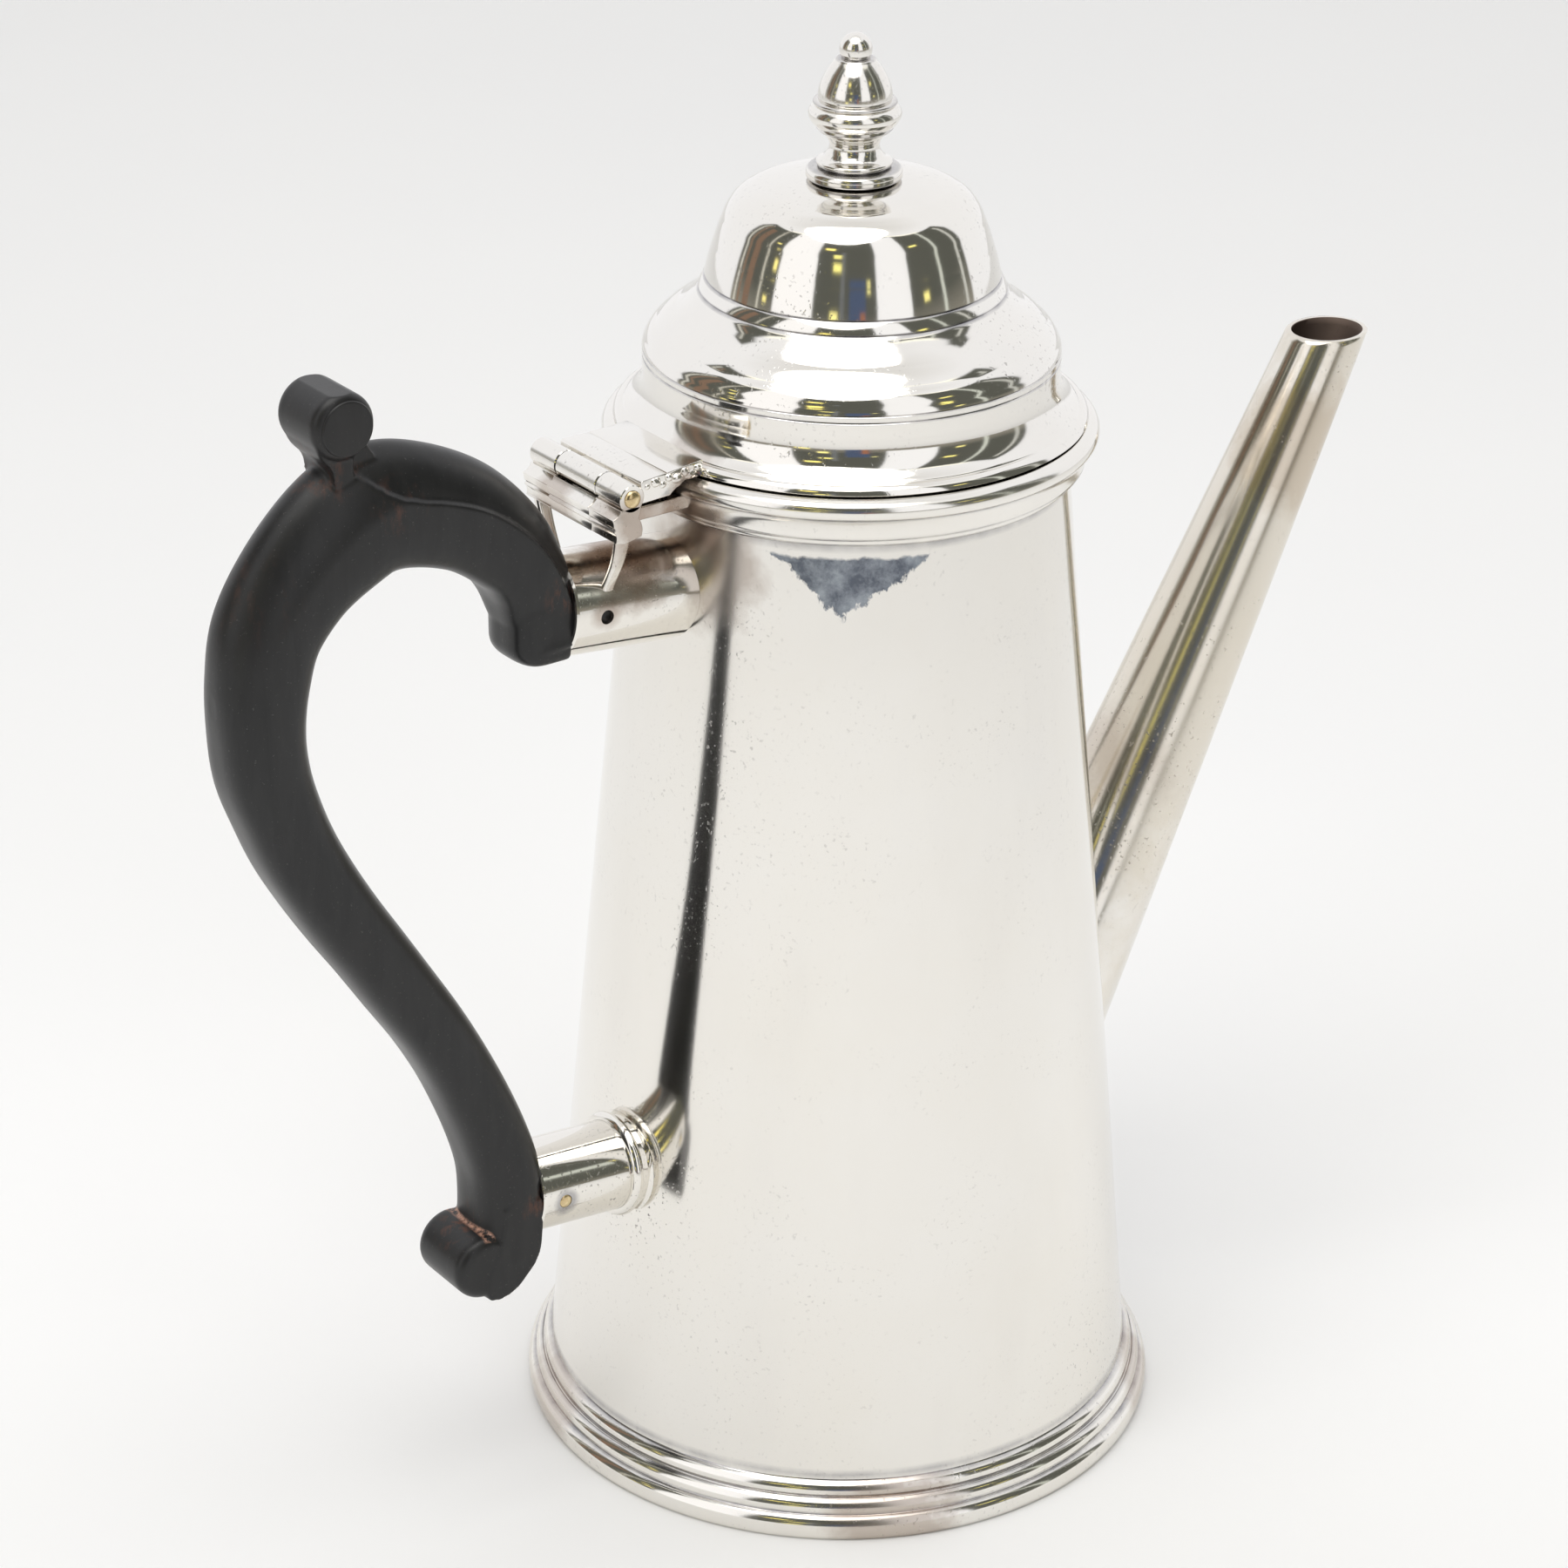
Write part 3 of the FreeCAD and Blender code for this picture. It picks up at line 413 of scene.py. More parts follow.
def painted_reflection_under_rim(n, colour, stain_and_painted_light):
    """A painted reflection of a dark thing standing in front of the pot: a ragged triangle with its point
    down, on the front of the body under the rim.
    """
    x, y, z = n.split(n.place)
    across = n.plus(n.times(x, -FRONT_Y), n.times(y, FRONT_X))
    facing = n.plus(n.times(x, FRONT_X), n.times(y, FRONT_Y))
    offset = n.plus(across, MM)
    slope = n.math("MAXIMUM", n.times(offset, 0.74), n.times(offset, -0.9))
    ragged = n.math("MULTIPLY_ADD", n.noise(170, 6, 0.72, stretch=(1, 1, 0.6)), 9 * MM, -4.5 * MM)
    over = n.plus(n.less(n.less(z, 151.2 * MM), slope), ragged)
    top = n.plus(n.less(161 * MM, z), n.times(ragged, 0.25))
    mask = n.over(n.math("MINIMUM", over, top), 0.45 * MM, clamp=True)
    mask = n.times(mask, n.math("GREATER_THAN", facing, 0))
    blotch = n.ramp(n.noise(330, 5, 0.7, shift=(0.2, 0.5, 0.1)), 0.36, 0.66)
    # the painted reflection's dark blue-grey, broken by noise
    tone = n.mix(blotch, rgb(0.085, 0.105, 0.145), rgb(0.34, 0.38, 0.43))
    mask = n.times(mask, 0.93)
    return n.mix(mask, colour, tone), n.math("MAXIMUM", stain_and_painted_light, mask)


def ebonised_wood(name):
    """Black stained wood, waxed by handling, rubbed through to red-brown here and there."""
    n = Nodes(name)
    grain = n.noise(420, 5, 0.62, stretch=(1, 1, 0.16), distortion=0.4)
    broad = n.noise(45, 3, 0.5)
    colour = n.mix(n.ramp(grain, 0.35, 0.72), rgb(0.006, 0.0064, 0.0072),
                   rgb(0.0135, 0.0137, 0.0145))
    colour = n.mix(n.times(n.ramp(broad, 0.45, 0.75), 0.5), colour, rgb(0.018, 0.017, 0.0165))
    rubbed_places = [
        ((-92, 0, 183.2), 7, 1), ((-57, -6.2, 157), 3.6, 1.1), ((-63.5, -5.4, 56), 3.4, 1.1),
        ((-74, 0, 53), 5.2, 0.9), ((-84, -6, 177), 5, 0.5), ((-104, 0, 166), 9, 0.25),
        ((-63.5, 5.4, 56), 3.4, 0.8), ((-57, 6.2, 157), 3.6, 0.8),
    ]
    fleck = n.ramp(n.noise(520, 5, 0.7, stretch=(1, 1, 0.35)), 0.5, 0.66)
    rubbed = 0
    for centre, radius, strength in rubbed_places:
        near = n.times(n.near(centre, radius), strength)
        rubbed = n.math("MAXIMUM", rubbed, near)
    rubbed = n.times(rubbed, fleck, clamp=True)
    colour = n.mix(rubbed, colour, rgb(0.15, 0.055, 0.03))
    # the raw edge in the crease over the lower scroll
    across = n.plus(n.axis("X"), 71.9 * MM)
    above = n.less(n.axis("Z"), 52.4 * MM)
    apart = n.math("SQRT", n.plus(n.times(across, across), n.times(above, above)))
    line = n.less(1, n.over(apart, 1.2 * MM), clamp=True)
    ends = n.less(6.1 * MM, n.math("ABSOLUTE", n.axis("Y")))
    line = n.times(line, n.over(ends, 0.6 * MM, clamp=True))
    frayed = n.ramp(n.noise(900, 4, 0.7), 0.4, 0.58)
    raw = n.times(n.ramp(line, 0, 0.35), frayed, clamp=True)
    colour = n.mix(raw, colour, rgb(0.55, 0.3, 0.21))
    dust = n.ramp(n.noise(2400, 2, 0.5), 0.68, 0.74)
    colour = n.mix(n.times(dust, 0.18), colour, rgb(0.2, 0.19, 0.18))
    rough = n.math("MULTIPLY_ADD", broad, 0.3, 0.2)
    rough = n.plus(rough, n.times(rubbed, 0.25))
    normal = n.bump(grain, 0.22, 0.08)
    normal = n.bump(n.noise(110, 3, 0.5), 0.25, 0.25, normal)
    n.feed(n.shader, Base_Color=colour, Roughness=rough, Normal=normal,
           Specular_IOR_Level=0.42, Coat_Weight=0.05, Coat_Roughness=0.22)
    return n.material


def dull_metal(name, first, second, rough):
    """Small fittings: two tones broken by fine noise."""
    n = Nodes(name)
    colour = n.mix(n.ramp(n.noise(700, 4, 0.6), 0.4, 0.65), first, second)
    n.feed(n.shader, Base_Color=colour, Metallic=1, Normal=n.bump(n.noise(900, 3, 0.5), 0.2, 0.05),
           Roughness=n.math("MULTIPLY_ADD", n.noise(300, 3, 0.5), 0.15, rough - 0.07))
    return n.material


SOCKET_FOOT = (-45, -3, 52)
body_silver = silver(
    "silver_body_polish", rough=0.1, warm=0.45, pits=0.25, wave=0.05,
    grooves=[(162.6, 1.1, 0.75), (9.8, 1, 0.7)],
    hazes=[(SOCKET_FOOT, 17, 1), ((-38, -25, 30), 34, 0.15), ((-34, -12, 120), 36, 0.2),
           ((20, -45, 16), 22, 0.5)],
    # torn: a painted reflection under the rim, of a dark thing in front of the pot
    torn=True, patches=[((-34, -8, 157), 12, 0.5)],
)
foot_silver = silver(
    "silver_foot_polish", rough=0.1, warm=0.75, pits=0.4,
    grooves=[(9.1, 0.7, 1.3), (6.55, 0.5, 1.2), (4.15, 0.5, 1.2)],
    patches=[((-24, -46, 3.5), 12, 0.55), ((36, -38, 3), 10, 0.4),
             ((20, 44, 4), 12, 0.5), ((-46, 14, 3), 12, 0.4)],
)
# the two brown patches beside the hinge plate are painted shade under the hinge leaf
rim_silver = silver(
    "silver_rim_polish", rough=0.15, warm=0.4, pits=0.3,
    grooves=[(163.1, 0.6, 1), (164.4, 0.5, 0.7), (168.05, 0.4, 0.9)],
    patches=[((-35, -6, 165), 9, 0.6), ((-35, 8, 165), 9, 0.6)],
)
# the wide warm patch over the spout's front is a painted reflection of the darker, warm room around it
spout_silver = silver(
    "silver_spout_polish", rough=0.085, warm=1, pits=0.45,
    hazes=[((60, -8, 92), 40, 0.35)],
    patches=[((76, -9, 120), 70, 0.4, rgb(0.62, 0.54, 0.4)),
             ((89, -6, 148), 13, 0.5, rgb(0.5, 0.4, 0.29)), ((57, 0, 96), 12, 0.3),
             ((97, 0, 163), 6, 0.35)],
)
socket_silver = silver(
    "silver_socket_polish", rough=0.07, warm=0.6, pits=0.4, pit_scale=1.3,
    hazes=[((-50, -7, 52), 9, 0.8)],
    patches=[((-44, -3, 158), 9, 0.9), ((-50.2, -8, 153), 3, 0.6),
             ((-58.7, -7, 55.3), 2.6, 0.5, TARNISH_BLUE), ((-44, 4, 158), 8, 0.8)],
)
# the brown patches on the bar and the plate are painted shade under the hinge leaf
hinge_silver = silver(
    "silver_hinge_polish", rough=0.1, warm=0.5, pits=0.5, pit_scale=1.4,
    patches=[((-47, -10, 166), 7, 0.7), ((-40, 0, 165.5), 10, 0.9),
             ((-51, 4, 166), 6, 0.5)],
)
leaf_silver = silver(
    "silver_leaf_polish", rough=0.13, warm=0.3, pits=0.5, pit_scale=1.3,
    patches=[((-38, -10.5, 170.5), 4, 0.6), ((-38, 10.5, 170.5), 4, 0.6)],
)
lid_silver = silver(
    "silver_lid_polish", rough=0.08, warm=0.4, pits=0.3, wave=0.03,
    grooves=[(181, 0.35, 1.1), (182, 0.3, 0.8), (191.2, 0.45, 1.1), (193.2, 0.4, 1.2)],
    hazes=[((20, -20, 190), 22, 0.6), ((-24, -16, 186), 16, 0.35)],
    patches=[((-33, -6, 174), 6, 0.35)],
)
finial_silver = silver(
    "silver_finial_polish", rough=0.12, warm=0.5, pits=0.35, pit_scale=1.6,
    grooves=[(208.3, 0.4, 1), (209.95, 0.35, 1), (215.7, 0.4, 0.9), (219.8, 0.35, 0.9),
             (226.3, 0.4, 1)],
)
spout_inside = silver("silver_spout_inside", rough=0.42, warm=1, pits=0.8,
                      patches=[((95, 0, 157), 30, 1, rgb(0.16, 0.12, 0.1))])
inside_silver = silver("silver_inside", rough=0.22, warm=0.9, pits=0.8,
                       patches=[((0, 0, 5), 40, 0.5)])
wood = ebonised_wood("ebonised_wood_wax")
brass = dull_metal("brass_pin_wear", rgb(0.8, 0.66, 0.4), rgb(0.58, 0.44, 0.24), 0.22)
dark = dull_metal("dark_pin_wear", rgb(0.09, 0.08, 0.08), rgb(0.2, 0.15, 0.12), 0.5)


def paint(piece, *materials):
    piece.data.materials.clear()
    for material in materials:
        piece.data.materials.append(material)
    return piece


# ---- body pieces

TAPER_LOW, TAPER = 48.77, 0.0934    # the body's radius at the floor, and how much it loses per mm
WALL = 1.2
ROUND = 320                         # segments round the large turned pieces


def cone(height):
    """The body's outer radius at a height."""
    return TAPER_LOW - TAPER * height


def planished(strength, spread):
    """A faint unevenness, as hand-raised silver has."""
    def warp(co):
        bump = noise.noise(co * (1 / spread)) * strength
        return co + Vector((co.x, co.y, 0)).normalized() * bump
    return warp


def shell_points(bottom=1, edge=170.8, top=171.1, ease=0.25):
    """The wall's section, up the outside and down the inside, with an eased top."""
    outside = [(cone(z), z) for z in [bottom + k * (top - bottom) / 90 for k in range(90)]]
    lip = [(cone(edge), edge), (cone(top) - ease, top), (cone(top) - WALL + ease, top)]
    inside = [(cone(z) - WALL, z) for z in [edge - k * (edge - bottom) / 60 for k in range(61)]]
    return outside + lip + inside


def cut_hole(bm, low_x, z, radius):
    """Opens the wall behind the spout: drops the faces inside a circle seen along X."""
    def inside(face):
        middle = face.calc_center_median()
        return middle.x > low_x and hypot(middle.y, middle.z - z) < radius
    bmesh.ops.delete(bm, geom=[f for f in bm.faces if inside(f)], context="FACES")
    rims = [e for e in bm.edges if e.is_boundary]
    for vert in {v for e in rims for v in e.verts}:
        reach = hypot(vert.co.y, vert.co.z - z)
        vert.co.y *= radius / reach
        vert.co.z = z + (vert.co.z - z) * radius / reach
        flat = hypot(vert.co.x, vert.co.y)
        wanted = cone(vert.co.z) if flat > cone(vert.co.z) - WALL / 2 else cone(vert.co.z) - WALL
        vert.co.x = sqrt(wanted ** 2 - vert.co.y ** 2)
    bmesh.ops.bridge_loops(bm, edges=rims)


shell = lathe(shell_points(), ROUND, closed=True)
cut_hole(shell, 30, 62, 7)
for vertex in shell.verts:
    lift = noise.noise(vertex.co * 0.028) * 0.1 + noise.noise(vertex.co * 0.085) * 0.018
    fade = min(1, (vertex.co.z - 9) / 12, (162 - vertex.co.z) / 12)
    if fade > 0:
        out = Vector((vertex.co.x, vertex.co.y, 0)).normalized()
        vertex.co += out * (lift * fade)
paint(add_mesh("pot_body", shell, "pot", ["body_shell"]), body_silver)

foot_profile = profile([
    (47.4, 1), (47.9, 0), (51.2, 0), (51.6, 0.25, 0.4), (51.93, 1.6, 3),
    (50.85, 4.02, 2.1), (50.55, 4.18, -0.25), (49.62, 6.38, 1.75), (49.15, 6.55, -0.25),
    (48.25, 8.75, 1.7), (47.86, 9.25, -0.6), (47.1, 9.25), (47.1, 1),
])
paint(add_mesh("foot_reeds", lathe(foot_profile, ROUND, closed=True), "pot", ["foot_ring"],
                            55), foot_silver)

rim_profile = profile([
    (33, 163), (34.1, 163), (34.5, 163.15, 0.35), (35.1, 164, 1), (35.3, 164.25, -0.3),
    (35.85, 164.6), (36.25, 166.3, -7), (37.15, 168, -4.5), (37.4, 168.15, -0.25),
    (36.3, 171, 1.68), (35.9, 171.1, 0.4), (32.2, 171.1), (32.4, 163),
])
paint(add_mesh("rim_bead", lathe(rim_profile, ROUND, closed=True), "pot", ["rim_moulding"],
                           55), rim_silver)

# the spout: a tube turned about its own slanted axis, with a thin rolled lip
LEAN = radians(28.1)
MOUTH = Vector((98.6, 0, 164.05))
LIP_R, GROWTH, SPOUT_WALL = 6.25, 0.0475, 0.9
SPOUT_DOWN = Vector((-sin(LEAN), 0, -cos(LEAN)))


def clear_of_body(spot, sunk):
    """Whether a place is outside the body's wall; sunk moves the wall inwards."""
    return hypot(spot.x, spot.y) > cone(spot.z) - sunk


def make_spout():
    down = SPOUT_DOWN
    side = Vector((-cos(LEAN), 0, sin(LEAN)))
    segments, rows = 160, 110
    ease = 0.12
    bm = bmesh.new()

    def ring_point(angle, wall, share):
        """A point of the tube: share runs from the level mouth to the body's wall."""
        def at(along):
            r = LIP_R + GROWTH * along - wall
            return MOUTH + down * along + side * (r * cos(angle)) + Vector((0, r * sin(angle), 0))
        first = bisect(-12, 30, lambda along: at(along).z > MOUTH.z)[1]
        last = bisect(first + 60, 160, lambda along: clear_of_body(at(along), 0.15))[1]
        return at(first + (last - first) * share)

    def ring(wall, share):
        return [bm.verts.new(ring_point(a, wall, share)) for a in circle(segments)]

    outer = [ring(0, k / rows) for k in range(rows + 1)]
    inner = [ring(SPOUT_WALL, k / rows) for k in range(rows + 1)]
    # a soft lip: two small rings ease the edge of the mouth
    lip = [ring(wall, 0) for wall in (ease, SPOUT_WALL - ease)]
    for vert in outer[0] + inner[0]:
        vert.co += down * ease
    stitch(bm, inner[::-1] + lip[::-1] + outer)
    stitch(bm, [outer[-1], inner[-1]])
    for vert in bm.verts:
        lift = noise.noise(vert.co * 0.05 + Vector((3, 1, 2))) * 0.05
        vert.co.y += lift * min(1, max(0, (150 - vert.co.z) / 20))
    return bm


spout_piece = paint(add_mesh("spout_tube", make_spout(), "pot", ["spout"], 50),
                    spout_silver, spout_inside)
for face in spout_piece.data.polygons:
    offset = face.center / MM - MOUTH
    reach_down = offset.dot(SPOUT_DOWN)
    if (offset - SPOUT_DOWN * reach_down).length < LIP_R + GROWTH * reach_down - SPOUT_WALL * 0.6:
        face.material_index = 1

# ---- tubes for the handle

TILT = radians(5.1)
OUTWARD = Vector((-cos(TILT), 0, sin(TILT)))
UP_TUBE = Vector((sin(TILT), 0, cos(TILT)))


def on_axis(root_z, x):
    """The place on a tube's axis at x; root_z is the axis's height at x = -30."""
    return Vector((x, 0, root_z + (-x - 30) * tan(TILT)))


def tube(root_z, end_x, rings, segments=128):
    """A tube that stands on the body's wall. rings: (distance back from its outer end, radius),
    where a distance of None is the body's wall."""
    bm = bmesh.new()
    end = on_axis(root_z, end_x)
    loops = []
    for back, radius in rings:
        loop = []
        for a in circle(segments):
            offset = Vector((0, sin(a), 0)) * radius + UP_TUBE * (radius * cos(a))
            length = back
            if back is None:
                length = bisect(
                    0, 60, lambda gone: clear_of_body(end - OUTWARD * gone + offset, 0))[0]
            loop.append(bm.verts.new(end - OUTWARD * length + offset))
        loops.append(loop)
    stitch(bm, loops + loops[:1])
    return bm


def cut_cross_hole(piece, x, z, radius):
    """Drills a tube through along Y."""
    cutter = bmesh.new()
    bmesh.ops.create_cone(cutter, cap_ends=True, segments=48, radius1=radius, radius2=radius,
                          depth=40, matrix=Matrix.Translation((x, 0, z)) @ Matrix.Rotation(pi / 2, 4, "X"))
    bmesh.ops.scale(cutter, vec=(MM, MM, MM), verts=cutter.verts)
    mesh = bpy.data.meshes.new("cutter")
    cutter.to_mesh(mesh)
    cutter.free()
    tool = bpy.data.objects.new("cutter", mesh)
    scene.collection.objects.link(tool)
    boolean = piece.modifiers.new("hole", "BOOLEAN")
    boolean.operation, boolean.object, boolean.solver = "DIFFERENCE", tool, "EXACT"
    apply_modifiers(piece)
    bpy.data.objects.remove(tool)
    piece.data.shade_smooth()
    piece.data.set_sharp_from_angle(angle=radians(35))


UPPER_R, LOWER_R, TUBE_WALL = 8, 7.2, 0.8
UPPER_ROOT, LOWER_ROOT = 150.5, 52.9            # the axes' heights at x = -30
UPPER_END, LOWER_END = -55.4, -62.6             # where the tubes end
UPPER_CROSS, LOWER_CROSS = -50.2, -58.7         # where the pins cross them

for name, node, root, end_x, cross, radius, last in (
    ("upper_tube", "upper_socket", UPPER_ROOT, UPPER_END, UPPER_CROSS, UPPER_R, 14),
    ("lower_tube", "lower_socket", LOWER_ROOT, LOWER_END, LOWER_CROSS, LOWER_R, 13),
):
    bore = radius - TUBE_WALL
    rings = [(None, bore), (0, bore), (0, radius - 0.3), (0.3, radius), (3, radius),
             (8, radius), (last, radius), (None, radius)]
    piece = add_mesh(name, tube(root, end_x, rings), "pot", [node], 35)
    cut_cross_hole(piece, cross, on_axis(root, cross).z, 1.1)
    paint(piece, socket_silver)

BEAD_R = LOWER_R + 0.2
bead_rings = [(None, LOWER_R + 0.02), (16.2, LOWER_R + 0.02), (16.2, BEAD_R)]
bead_rings += [(17.2 - cos(a), BEAD_R + sin(a)) for a in [0.1 + k * 0.26 for k in range(11)]]
bead_rings += [(18.3, LOWER_R + 0.3), (19.2, LOWER_R + 0.32), (None, LOWER_R + 1.05)]
paint(add_mesh("lower_bead", tube(LOWER_ROOT, LOWER_END, bead_rings), "pot",
               ["lower_socket_collar"], 50), socket_silver)

# ---- handle

# centre line over the arch and down to the scroll: x, z, thickness in the plane, half width
ARM = [
    (-57.6, 148.6, 11, 4.4), (-58, 153.8, 12.2, 5.5), (-60, 159.6, 12.1, 6.4),
    (-63.4, 164.9, 13.6, 6.5), (-70.3, 170.8, 15.4, 6.5), (-78.6, 174.4, 17, 6.5),
    (-85.6, 175.3, 18.4, 6.5), (-91.2, 173.1, 18.2, 6.5), (-97.9, 167.9, 16.1, 6.5),
    (-102.8, 161.1, 14.6, 6.5), (-104.6, 153.5, 13.2, 6.5), (-105, 145.8, 12.1, 6.45),
    (-104.3, 138.7, 11.9, 6.4), (-102.3, 132, 11.4, 6.35), (-99.8, 125.6, 11.2, 6.3),
    (-96.4, 119, 10.9, 6.25), (-92.4, 112.2, 10.6, 6.2), (-88.1, 105.5, 10.3, 6.15),
    (-83.3, 97.8, 10.1, 6.1), (-78.7, 90.4, 9.8, 6.1), (-74.7, 83, 9.7, 6.1), (-71.4, 75.8, 9.9,
                                                                               6.15),
    (-68.6, 68.6, 10.2, 6.2), (-66.8, 62.3, 10.5, 6.25), (-66.3, 56.6, 10.7, 6.3),
    (-66.6, 51, 10.8, 6.3), (-67.7, 46.8, 10.9, 6.3),
]


def smooth_rows(rows, count):
    """A Catmull-Rom curve through rows of numbers."""
    made = []
    spans = len(rows) - 1
    for k in range(count + 1):
        t = k / count * spans
        i = min(int(t), spans - 1)
        u = t - i
        p0, p1, p2, p3 = (rows[max(0, min(spans, i + d))] for d in (-1, 0, 1, 2))
        made.append(tuple(
            0.5 * (2 * b + (c - a) * u + (2 * a - 5 * b + 4 * c - d) * u * u
                   + (3 * b - a - 3 * c + d) * u ** 3)
            for a, b, c, d in zip(p0, p1, p2, p3)))
    return made


# where the carved ridge runs on the near face, as (share of the length, height over the centre
# line), and the edge of the sunk crown that tapers away under the curl; both heights are parts
# of the half thickness
RIDGE_LINE = [(0, 0.5), (0.08, 0.42), (0.13, 0.34), (0.18, 0.24), (0.21, 0.2), (0.24, 0.06),
              (0.32, 0), (1, 0)]
CROWN_EDGE = [(0, 0), (0.2, 0.22), (0.215, 0.27), (0.229, 0.42), (0.24, 0.74), (0.252, 1.05),
              (0.26, 2), (1, 2)]
SUNK = 0.85
SOFT, HARD = 2 / 2.75, 2 / 3.6      # powers for an eased rectangle and a squarer one
ARM_ROWS, ARM_POINTS = 420, 128
FULL_HALF = 6.5                     # half the wood's width at the arch


def along(line, share):
    """The height of a broken line at a share of the length."""
    for (s0, h0), (s1, h1) in zip(line, line[1:]):
        if share <= s1:
            return h0 + (h1 - h0) * (share - s0) / (s1 - s0)
    return line[-1][1]


def arm_section(half_in, half_wide, share):
    """Points (out from the body side, across) of the wood's section: an eased rectangle that
    turns, at the carved shoulder, into an arched top over flat sides."""
    fade = max(0, min(1, (0.46 - share) / 0.16))
    carved = fade * fade * (3 - 2 * fade)
    corner = along(RIDGE_LINE, share) * half_in
    edge = along(CROWN_EDGE, share) * half_in
    flat = half_wide + 0.1
    made = []
    for a in circle(ARM_POINTS):
        c, s = cos(a), sin(a)
        soft_u, soft_v = powered(c, SOFT) * half_in, powered(s, SOFT) * half_wide
        if c >= 0:
            hard_u = corner + (half_in - corner) * max(0, 1 - s * s) ** 0.66
            hard_v = s * (flat - SUNK if hard_u >= edge else flat)
        else:
            hard_u = corner - (half_in + corner) * abs(c) ** HARD
            hard_v = powered(s, HARD) * flat
        made.append((soft_u + (hard_u - soft_u) * carved, soft_v + (hard_v - soft_v) * carved))
    return made


def sweep_arm():
    """The arm, as a section swept along the rows of ARM."""
    bm = bmesh.new()
    rows = smooth_rows(ARM, ARM_ROWS)
    loops = []
    for index, (x, z, thick, wide) in enumerate(rows):
        way = travel(rows, index)
        out = Vector((way.y, 0, -way.x))
        share = index / (len(rows) - 1)
        # over the tube the far side is drawn in, so the near face stays in one plane
        drawn = (wide - FULL_HALF) * max(0, 1 - share / 0.1)
        # the section starts a little large, because the smoothing takes that much away
        loops.append([bm.verts.new(Vector((x, drawn, z)) + out * u + Vector((0, v, 0)))
                      for u, v in arm_section(thick / 2 + 0.42, wide + 0.3, share)])
    stitch(bm, loops, ends=True)
    bmesh.ops.recalc_face_normals(bm, faces=bm.faces)
    return bm


def along_y(bm, place):
    """Lays a turned shape along Y at a place."""
    return placed(bm, Matrix.Translation(place) @ Matrix.Rotation(pi / 2, 4, "X"))


def barrel(x, z, radius, half, edge):
    """A short roll along Y with rounded ends."""
    core = radius - edge
    points = [(0, -half)]
    points += [(core + edge * sin(a), -half + edge - edge * cos(a)) for a in quarter(10)]
    points += [(core + edge * cos(a), half - edge + edge * sin(a)) for a in quarter(10)]
    points.append((0, half))
    return along_y(lathe(points, 72), (x, 0, z))


def solid(bm, name):
    """A working object from a bmesh, in millimetres."""
    mesh = bpy.data.meshes.new(name)
    bmesh.ops.recalc_face_normals(bm, faces=bm.faces)
    bm.to_mesh(mesh)
    bm.free()
    piece = bpy.data.objects.new(name, mesh)
    scene.collection.objects.link(piece)
    return piece


def rounding(depth, radius):
    """How far a rounded edge stands back at a depth above its lowest point."""
    rise = radius - min(depth, radius)
    return radius - sqrt(radius * radius - rise * rise)


def toe_block():
    """The wood's foot at the upper tube: upright sides, well rounded away from the body."""
    bottom, top, middle, front, rear = 146, 155, -58.5, -54.5, 64.4
    rows, points = 36, 96
    bm = bmesh.new()
    loops = []
    for step in range(rows + 1):
        depth = (top - bottom) * step / rows
        back = middle + rear - rounding(depth, 3.2)
        half = FULL_HALF - rounding(depth, 1.5)
        loop = []
        for a in circle(points):
            c, s = cos(a), sin(a)
            power = 2.1 if s > 0 else 3.6
            reach = front - middle if c > 0 else back
            x = middle + powered(c, 2 / (8 if c > 0 else power)) * reach
            loop.append(bm.verts.new((x, powered(s, 2 / power) * half, bottom + depth)))
        loops.append(loop)
    stitch(bm, loops)
    bm.faces.new(list(reversed(loops[0])))
    bm.faces.new(loops[-1])
    return bm


VOXEL, SMOOTHINGS = 0.27, 4
FLAT_REACH = 16                     # how far above and below a tube's axis the wood is cut flat


def make_handle():
    """The carved parts are run together as one skin, then eased, and cut flat at the tubes."""
    neck = slab(bevelled([
        (-95.9, 188.4), (-93.8, 184.6, 6), (-92.9, 181.6, -4), (-90, 177), (-89.6, 186),
    ]), 4.4)
    throat = slab([(-91, 178), (-84, 178), (-85.5, 183.8), (-87.4, 187.2), (-91, 188)], 3)
    heel = slab(bevelled([
        (-62.6, 57), (-62, 52), (-62.9, 48.2, -8), (-65.6, 44.1, -8), (-69.3, 41.7, -7),
        (-72.6, 42, -5), (-72.6, 46), (-70, 51), (-69.4, 57),
    ]), 6.55)
    parts = [sweep_arm(), barrel(-91.5, 190.1, 5, 5.6, 1.5), neck, throat, heel,
             barrel(-72.6, 47.6, 5.3, 6.4, 1.7), toe_block()]
    whole = solid(join(*parts), "wood_blank")
    remesh = whole.modifiers.new("skin", "REMESH")
    remesh.mode, remesh.voxel_size = "VOXEL", VOXEL
    apply_modifiers(whole)
    bm = bmesh.new()
    bm.from_mesh(whole.data)
    bpy.data.objects.remove(whole)
    for _ in range(SMOOTHINGS):
        bmesh.ops.smooth_vert(bm, verts=bm.verts, factor=0.5, use_axis_x=True, use_axis_y=True,
                              use_axis_z=True)
    # the wood ends in a flat face square to each tube
    for root_z, end_x in ((UPPER_ROOT, -55.13), (LOWER_ROOT, -62.33)):
        end = on_axis(root_z, end_x)
        for vert in bm.verts:
            beyond = (vert.co - end).dot(-OUTWARD)
            if beyond > 0 and abs(vert.co.z - end.z) < FLAT_REACH:
                vert.co += OUTWARD * beyond
    # the round end of the curl stands a little proud, with a fine edge
    return join(bm, barrel(-91.3, 190, 4.1, 5.85, 0.35))


